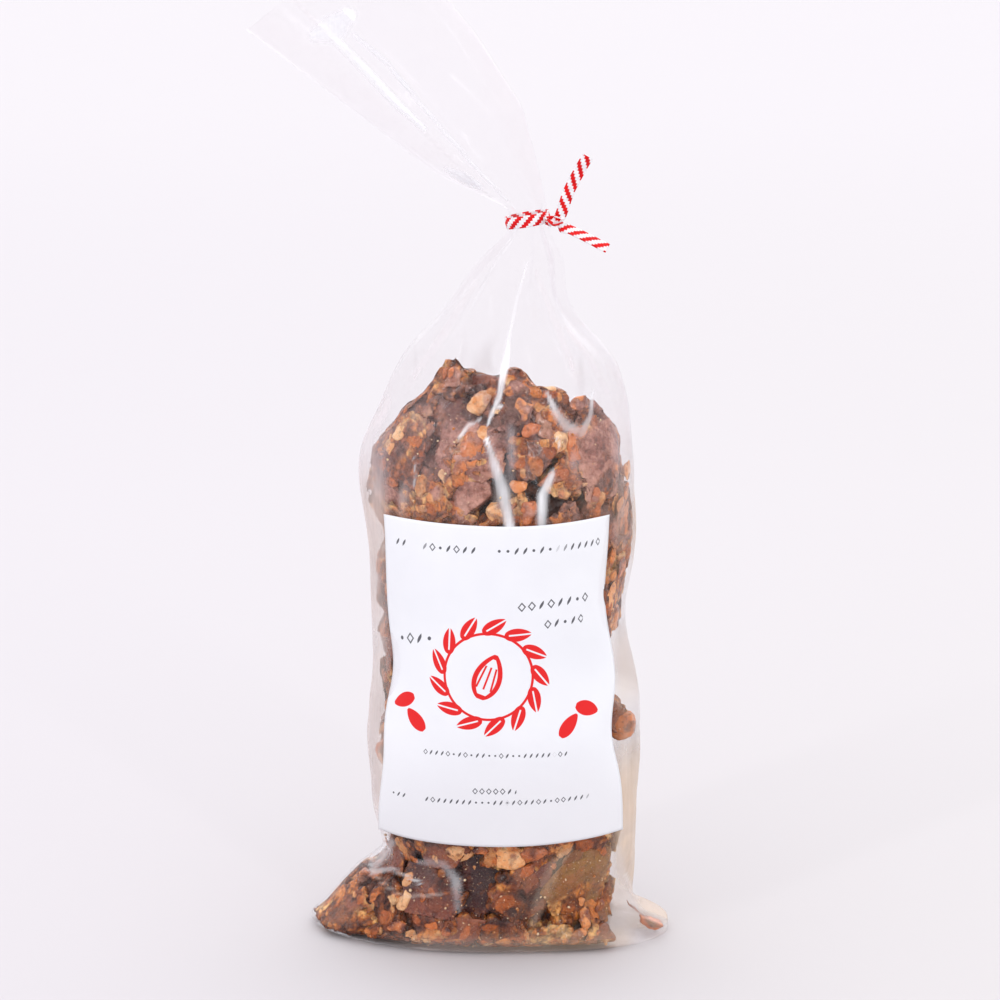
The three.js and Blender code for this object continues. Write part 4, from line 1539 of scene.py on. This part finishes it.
def label_finish():
    """White paper with a soft shine and painted shade low down, printed in red and dark ink."""
    s = material("label_print")
    across, up = s.attribute("across"), s.attribute("up")
    paper = s.mix(s.noise(30, 3).ramp(0.3, 0.7), rgb(245, 247, 251), rgb(240, 242, 247))
    # Painted shade: the paper is coloured a little greyer towards its bottom.
    paper = s.mix((-up).ramp(5, 52) * 0.6, paper, rgb(228, 227, 231))

    def within(value, low, high, soft=0.1):
        """1 between two values, with soft edges."""
        return value.ramp(low - soft, low + soft) * (1 - value.ramp(high - soft, high + soft))

    def sign_row(left, right, middle, half, slope, seed, gap):
        """A row of tiny leaves, diamonds and dots, with gaps here and there."""
        pitch = half * 2.1
        level = (up - across * slope - middle) / half
        place = (across - left) / pitch
        number = place.math("FLOOR")
        side = (place - number - 0.5) * (pitch / half)
        far = (side * side + level * level) ** 0.5
        leaf = (abs(side - level * 0.5) * 2.4 + level * level).ramp(0.7, 0.95, 1, 0)
        diamond = abs(abs(side) * 1.2 + abs(level) - 0.85).ramp(0.14, 0.26, 1, 0)
        dot = far.ramp(0.3, 0.42, 1, 0)
        pick = s.node("ShaderNodeTexWhiteNoise", {"W": number + seed}, noise_dimensions="1D")["Value"]
        motif = s.node("ShaderNodeMix", {0: (pick - 0.55).ramp(-0.01, 0.01), 2: leaf, 3: diamond})[0]
        motif = s.node("ShaderNodeMix", {0: (pick - 0.82).ramp(-0.01, 0.01), 2: motif, 3: dot})[0]
        groups = s.noise(0.21, 0, vector=s.node("ShaderNodeCombineXYZ", [number, seed, 0])[0])
        shown = groups.ramp(gap - 0.01, gap + 0.01) * within(across, left, right)
        return motif * shown * abs(level).ramp(1, 1.1, 1, 0)

    def almond(side, tall, width, height):
        """How far inside an almond's outline a point lies. Its tip points up and its middle is at 0."""
        share = (tall / height + 0.5).math("MINIMUM", 1.0).math("MAXIMUM", 0.0)
        reach = (share**0.62) * ((1 - share) ** 0.8) * (width * 1.3)
        return (reach - abs(side)).math("MINIMUM", height / 2 - abs(tall) - 0.3)

    def turned(x, y, turn):
        """A place, as seen from axes that are turned."""
        sine, cosine = math.sin(turn), math.cos(turn)
        return x * cosine + y * sine, y * cosine - x * sine

    ink = sign_row(*SIGN_ROWS[0])
    for row in SIGN_ROWS[1:]:
        ink = ink.math("MAXIMUM", sign_row(*row))

    x, y = across - WREATH["x"], up - WREATH["y"]
    far = (x * x + y * y) ** 0.5
    share = math.tau / WREATH["leaves"]
    angle = y.math("ARCTAN2", x) / share
    part = (angle - (angle + 0.5).math("FLOOR")) * share
    side, tall = turned(far * part.math("SINE"), far * part.math("COSINE") - WREATH["radius"], 0.9)
    leaf = almond(side, tall, 4.6, 9.5)
    red = leaf.ramp(-0.1, 0.1) * (1 - (abs(side).ramp(0.2, 0.35, 1, 0) * tall.ramp(-3.2, -2.8)))
    stem = abs(far - WREATH["radius"] + 2.6).ramp(0.35, 0.55, 1, 0)
    red = red.math("MAXIMUM", stem)
    side, tall = turned(x, y, -0.35)
    kernel = almond(side, tall, 10, 17)
    red = red.math("MAXIMUM", abs(kernel - 0.9).ramp(0.75, 0.95, 1, 0))
    for vein in (-2.1, 0.0, 2.1):
        line = abs(side - vein + tall * vein * 0.045).ramp(0.25, 0.42, 1, 0)
        red = red.math("MAXIMUM", line * within(tall, -4.5, 3.6))
    for x_at, y_at, turn in ALMONDS:
        side, tall = turned(across - x_at, up - y_at, turn)
        red = red.math("MAXIMUM", almond(side, tall, 5, 10).ramp(-0.1, 0.1))
    colour = s.mix(ink * 0.9, paper, rgb(*INK))
    colour = s.mix(red, colour, rgb(*RED))
    return s.solid(
        base_color=colour,
        roughness=s.noise(40, 2).ramp(0.3, 0.7, 0.34, 0.46),
        normal=s.bump(s.noise(55, 3, 0.5), 0.5 * MM, 0.5),
        specular_ior_level=0.35,
        coat_weight=0.25,
        coat_roughness=0.18,
    )


label = joined("label_sheet", [label_paper], label_finish())

# %% [markdown]
# ## Twist tie
# The tie is a flat strip of paper over a wire. It goes once round the neck, and its ends are twisted on
# each other and stick out. A bevelled curve would do for a round cord, but a strip has a face, which turns
# over where it is twisted. So each part is a narrow sheet laid along a curve, with a face direction of its
# own at each point and a bulge over the wire.

# %% Twist tie
TIE_WIDTH = 3.8 * MM
STRIP_POINTS = 9
WIRE_BULGE = 0.22 * MM
BAND_HALVES = (7.25, 5.7)
BAND_TILT = 10


def curve_points(points, count):
    """A smooth curve through a few points, as evenly spaced points."""
    given = np.array(points, float) * MM
    ends = np.concatenate([[2 * given[0] - given[1]], given, [2 * given[-1] - given[-2]]])
    fine = []
    for i in range(1, len(ends) - 2):
        for t in np.linspace(0, 1, 24, endpoint=i == len(ends) - 3):
            a, b, c, d = ends[i - 1 : i + 3]
            bend = (2 * a - 5 * b + 4 * c - d) * t**2 + (3 * b - a - 3 * c + d) * t**3
            fine.append(b + 0.5 * ((c - a) * t + bend))
    run = run_along(fine)
    at = np.linspace(0, run[-1], count)
    return read_off(at, run, fine), at


def unit(directions):
    """The same directions, one long."""
    return directions / np.linalg.norm(directions, axis=1, keepdims=True)


def strip_mesh(centres, run, faces_to, start, closed=False):
    """A ribbon along points, with its face towards the given directions. start is its place on the strip."""
    share = np.linspace(-0.5, 0.5, STRIP_POINTS)
    tangent = np.gradient(centres, axis=0)
    if closed:
        tangent[0] = tangent[-1] = centres[1] - centres[-2]
    ahead = unit(tangent)
    out = unit(faces_to - ahead * (faces_to * ahead).sum(axis=1, keepdims=True))
    side = np.cross(out, ahead)
    wire = WIRE_BULGE * np.exp(-((share / 0.14) ** 2))
    grid = centres + side * (share * TIE_WIDTH)[:, None, None] + out * wire[:, None, None]
    along, across = np.meshgrid((start + run) / MM, share * TIE_WIDTH / MM)
    return mesh_from(sheet_from(grid, {"along": along, "across": across}, welded=closed), "strip")


NECK = (9.15, 0, 248.7)
UPPER_TAIL = [
    (15.2, -4.6, 249.3), (17.4, -6.0, 249.2), (19.1, -6.0, 249.2), (20.6, -6.3, 252.5), (23, -6.6, 259.6),
    (28.7, -7, 270.3),
]
LOWER_TAIL = [
    (15.2, -4.4, 248.9), (17.4, -4.6, 248.5), (19.2, -6.2, 247.4), (24.8, -6.8, 245.4), (35.5, -8.2, 240.1),
]
turns = np.linspace(0, math.tau, 91)
wide, deep = BAND_HALVES
around = np.stack([wide * np.cos(turns), deep * np.sin(turns), 0 * turns], axis=1)
tilt = np.array(Matrix.Rotation(math.radians(-BAND_TILT), 3, "Y"))
band_points = (around @ tilt.T + np.array(NECK)) * MM
band_faces = np.stack([np.cos(turns) / wide, np.sin(turns) / deep, 0 * turns], axis=1) @ tilt.T
upper_points, upper_run = curve_points(UPPER_TAIL, 70)
lower_points, lower_run = curve_points(LOWER_TAIL, 60)


def rolling(run, turns_at_knot, knot, from_roll, to_roll):
    """Directions a tail faces: it turns over in the knot, then lies still."""
    share = np.clip(run / run[-1], 0, 1)
    roll = from_roll + turns_at_knot * math.tau * (1 - step(0, knot, share)) + (to_roll - from_roll) * share
    return np.stack([0.4 * np.sin(roll), -np.cos(roll), np.sin(roll)], axis=1)


strips = [
    strip_mesh(band_points, run_along(band_points), band_faces, 0, closed=True),
    strip_mesh(upper_points, upper_run, rolling(upper_run, 0.75, 0.3, 0.3, 0.0), 48 * MM),
    strip_mesh(lower_points, lower_run, rolling(lower_run, -0.75, 0.4, 0.9, 0.7), 90 * MM),
]
print("the tails of the tie are", [round(run[-1] / MM) for run in (upper_run, lower_run)], "mm long")

# %% [markdown]
# ## The tie's stripes
# Slanting stripes are printed along the strip, so they run round the tails as these turn. Last, label and
# tie both get the thickness of their paper.

# %% The tie's stripes


def tie_finish():
    """White paper with slanting red stripes, cut in steps across the strip as coarse printing is."""
    s = material("striped_paper")
    along, across = s.attribute("along"), s.attribute("across")
    stair = (across / 0.7).math("FLOOR") * 0.7
    slant = (along - stair * 1.15) / 4.45
    stripe = abs(slant.math("FRACT") - 0.5).ramp(0.24, 0.26)
    paper = s.mix(s.noise(900, 2).ramp(0.3, 0.7), rgb(250, 250, 252), rgb(232, 230, 234))
    ink = s.mix(s.noise(500, 3).ramp(0.3, 0.7), rgb(232, 2, 8), rgb(206, 0, 8))
    colour = s.mix(stripe, paper, ink)
    normal = s.bump(s.noise(1400, 3), 0.12 * MM)
    return s.solid(base_color=colour, roughness=0.55, specular_ior_level=0.25, normal=normal)


tie = joined("striped_tie", strips, tie_finish())
for piece, thick in ((label, 0.2 * MM), (tie, 0.35 * MM)):
    paper = piece.modifiers.new("paper", "SOLIDIFY")
    paper.thickness = thick
    paper.offset = 0

# %% [markdown]
# ## Crumbs
# Broken sugar leaves crumbs that cling to the film. Each is a tiny ball knocked out of shape. A particle
# system could scatter them, but a loop can leave out those that would lie on empty film. Their places are
# measured from the solid's skin, so where the film has settled further in, they are left outside it.

# %% Crumbs
CRUMB_SIZES = (0.13, 0.17, 0.17, 0.22, 0.3, 0.45)
CRUMB_TRIES = 900
UNDER_LABEL = (2, 36)
OVER_LABEL = (130, 196)
CRUMBS_LEFT, CRUMBS_RIGHT = -40 * MM, 38 * MM
BELOW_TOP = 3 * MM


def crumbs(tries, seed):
    """Tiny crumbs just inside the solid's skin, under the label and over it."""
    rng = random.Random(seed)
    bm = bmesh.new()
    for _ in range(tries):
        heights = UNDER_LABEL if rng.random() < 0.6 else OVER_LABEL
        z = rng.uniform(*heights)
        spot, normal = wall_at(rng.uniform(0, math.tau), z * MM)
        size = rng.choice(CRUMB_SIZES) * MM
        at = spot - normal * (0.55 * MM + size)
        if over_top(np.array([at]))[0] > -BELOW_TOP or not CRUMBS_LEFT < at.x < CRUMBS_RIGHT:
            continue
        halves = Vector([size * rng.uniform(0.4, 1.5) for _ in range(3)])
        turn = Euler([rng.uniform(0, math.tau) for _ in range(3)]).to_quaternion()
        matrix = Matrix.LocRotScale(at, turn, halves)
        bmesh.ops.create_icosphere(bm, subdivisions=1, radius=1, matrix=matrix)
    return mesh_from(bm, "crumbs")


def crumb_finish():
    """Pale dull sugar."""
    s = material("sugar_crumb")
    colour = s.mix(s.noise(300, 2).ramp(0.4, 0.6), rgb(190, 116, 58), rgb(236, 208, 170))
    normal = s.bump(s.noise(2500, 2), 0.2 * MM)
    return s.solid(base_color=colour, roughness=0.5, normal=normal)


loose_crumbs = joined("crumbs", [crumbs(CRUMB_TRIES, seed=5)], crumb_finish())

# %% [markdown]
# ## Riding on the frame
# Nothing on the bag moves, so every piece rides on its one body, and the solid that it stands for is hidden.

# %% Riding on the frame
for piece in pile + [loose_crumbs]:
    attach(piece, "root")
    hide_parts("bag")
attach(bag_film, "root")
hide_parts("bag")
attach(label, "root")
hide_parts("label")
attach(tie, "root")
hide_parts("twist_tie")
print(len(pile) + 4, "pieces ride on the frame")

# %% [markdown]
# ## Floor and light
# A pale studio: a wide floor, and a sky that is bright overhead and dimmer towards the horizon. Film that
# faces up mirrors the bright part and turns milky, while upright film stays clear. Two soft boxes put the
# long highlights on its folds.

# %% Floor and light
FLOOR_SIZE = 30
FLOOR_Z = -0.3 * MM
BOX_SIZE = (0.06, 0.6)
BOX_COLOUR = (1, 0.99, 1)
BOX_TARGET = Vector((0, 0, 0.15))
SKY_BASE = 0.88
# A direction, from how near to it up to how near the sky brightens, and by how much.
SKY_PARTS = [
    ((0, 0, 1), 0.0, 0.9, 0.3),
    ((0, 1, 0), -0.4, 0.7, 0.12),
    ((0.1, 0.64, 0.77), 0.55, 0.95, 0.75),
]


def studio_floor():
    """A wide floor, with painted shade: a little darker near the viewer, as the light falls off there."""
    bm = bmesh.new()
    bmesh.ops.create_grid(bm, x_segments=1, y_segments=1, size=FLOOR_SIZE)
    floor = in_scene("floor", mesh_from(bm, "floor"))
    floor.location.z = FLOOR_Z
    s = material("pale_floor")
    split = s.node("ShaderNodeSeparateXYZ", [s.place()])
    # Painted shade: the colour is lighter far behind and darker towards the viewer, as the light falls off.
    back = split["Y"].ramp(-0.35, 0.7, 0, 0.6) + split["Y"].ramp(0.5, 3.5, 0, 0.4)
    near = s.mix(split["X"].ramp(-0.4, 0.4), (0.598, 0.575, 0.603, 1), (0.598, 0.583, 0.584, 1))
    colour = s.mix(back, near, (0.665, 0.647, 0.668, 1))
    colour = s.mix(s.noise(12, 3).ramp(0.3, 0.7) * 0.02, colour, (0.6, 0.58, 0.6, 1))
    floor.data.materials.append(s.solid(base_color=colour, roughness=0.8, specular_ior_level=0.2))
    floor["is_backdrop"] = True


def soft_box(name, place, power):
    """A narrow upright light that faces the bag."""
    light = bpy.data.lights.new(name, "AREA")
    light.shape = "RECTANGLE"
    light.size, light.size_y = BOX_SIZE
    light.energy = power
    light.color = BOX_COLOUR
    box = in_scene(name, light)
    box.location = place
    box.rotation_euler = (BOX_TARGET - Vector(place)).to_track_quat("-Z", "Y").to_euler()


def sky():
    """Bright overhead and behind, dimmer low down and towards the viewer."""
    s = Shader(bpy.data.worlds.new("studio"))
    looking = s.node("ShaderNodeTexCoord")["Generated"]
    strength = SKY_BASE
    for direction, low, high, more in SKY_PARTS:
        inputs = [looking, Vector(direction).normalized()]
        near = s.node("ShaderNodeVectorMath", inputs, operation="DOT_PRODUCT")["Value"]
        strength = near.ramp(low, high, 0, more) + strength
    light = s.node("ShaderNodeBackground", {"Color": (1.0, 0.985, 1.01, 1), "Strength": strength})[0]
    bpy.context.scene.world = s.finish(light, "ShaderNodeOutputWorld")


studio_floor()
soft_box("left_box", (-0.75, -0.75, 0.75), 1.3)
soft_box("right_box", (0.5, -0.9, 0.6), 1.0)
sky()
bpy.context.scene.view_settings.view_transform = "Standard"
bpy.context.scene.view_settings.look = "None"
bpy.context.scene.cycles.transparent_max_bounces = 24
print("the sky has", len(SKY_PARTS), "bright parts and the room", len(bpy.data.lights), "soft boxes")

# %% [markdown]
# ## Size
# The box round all the finished pieces is measured, the floor left out.

# %% Size
low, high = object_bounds()
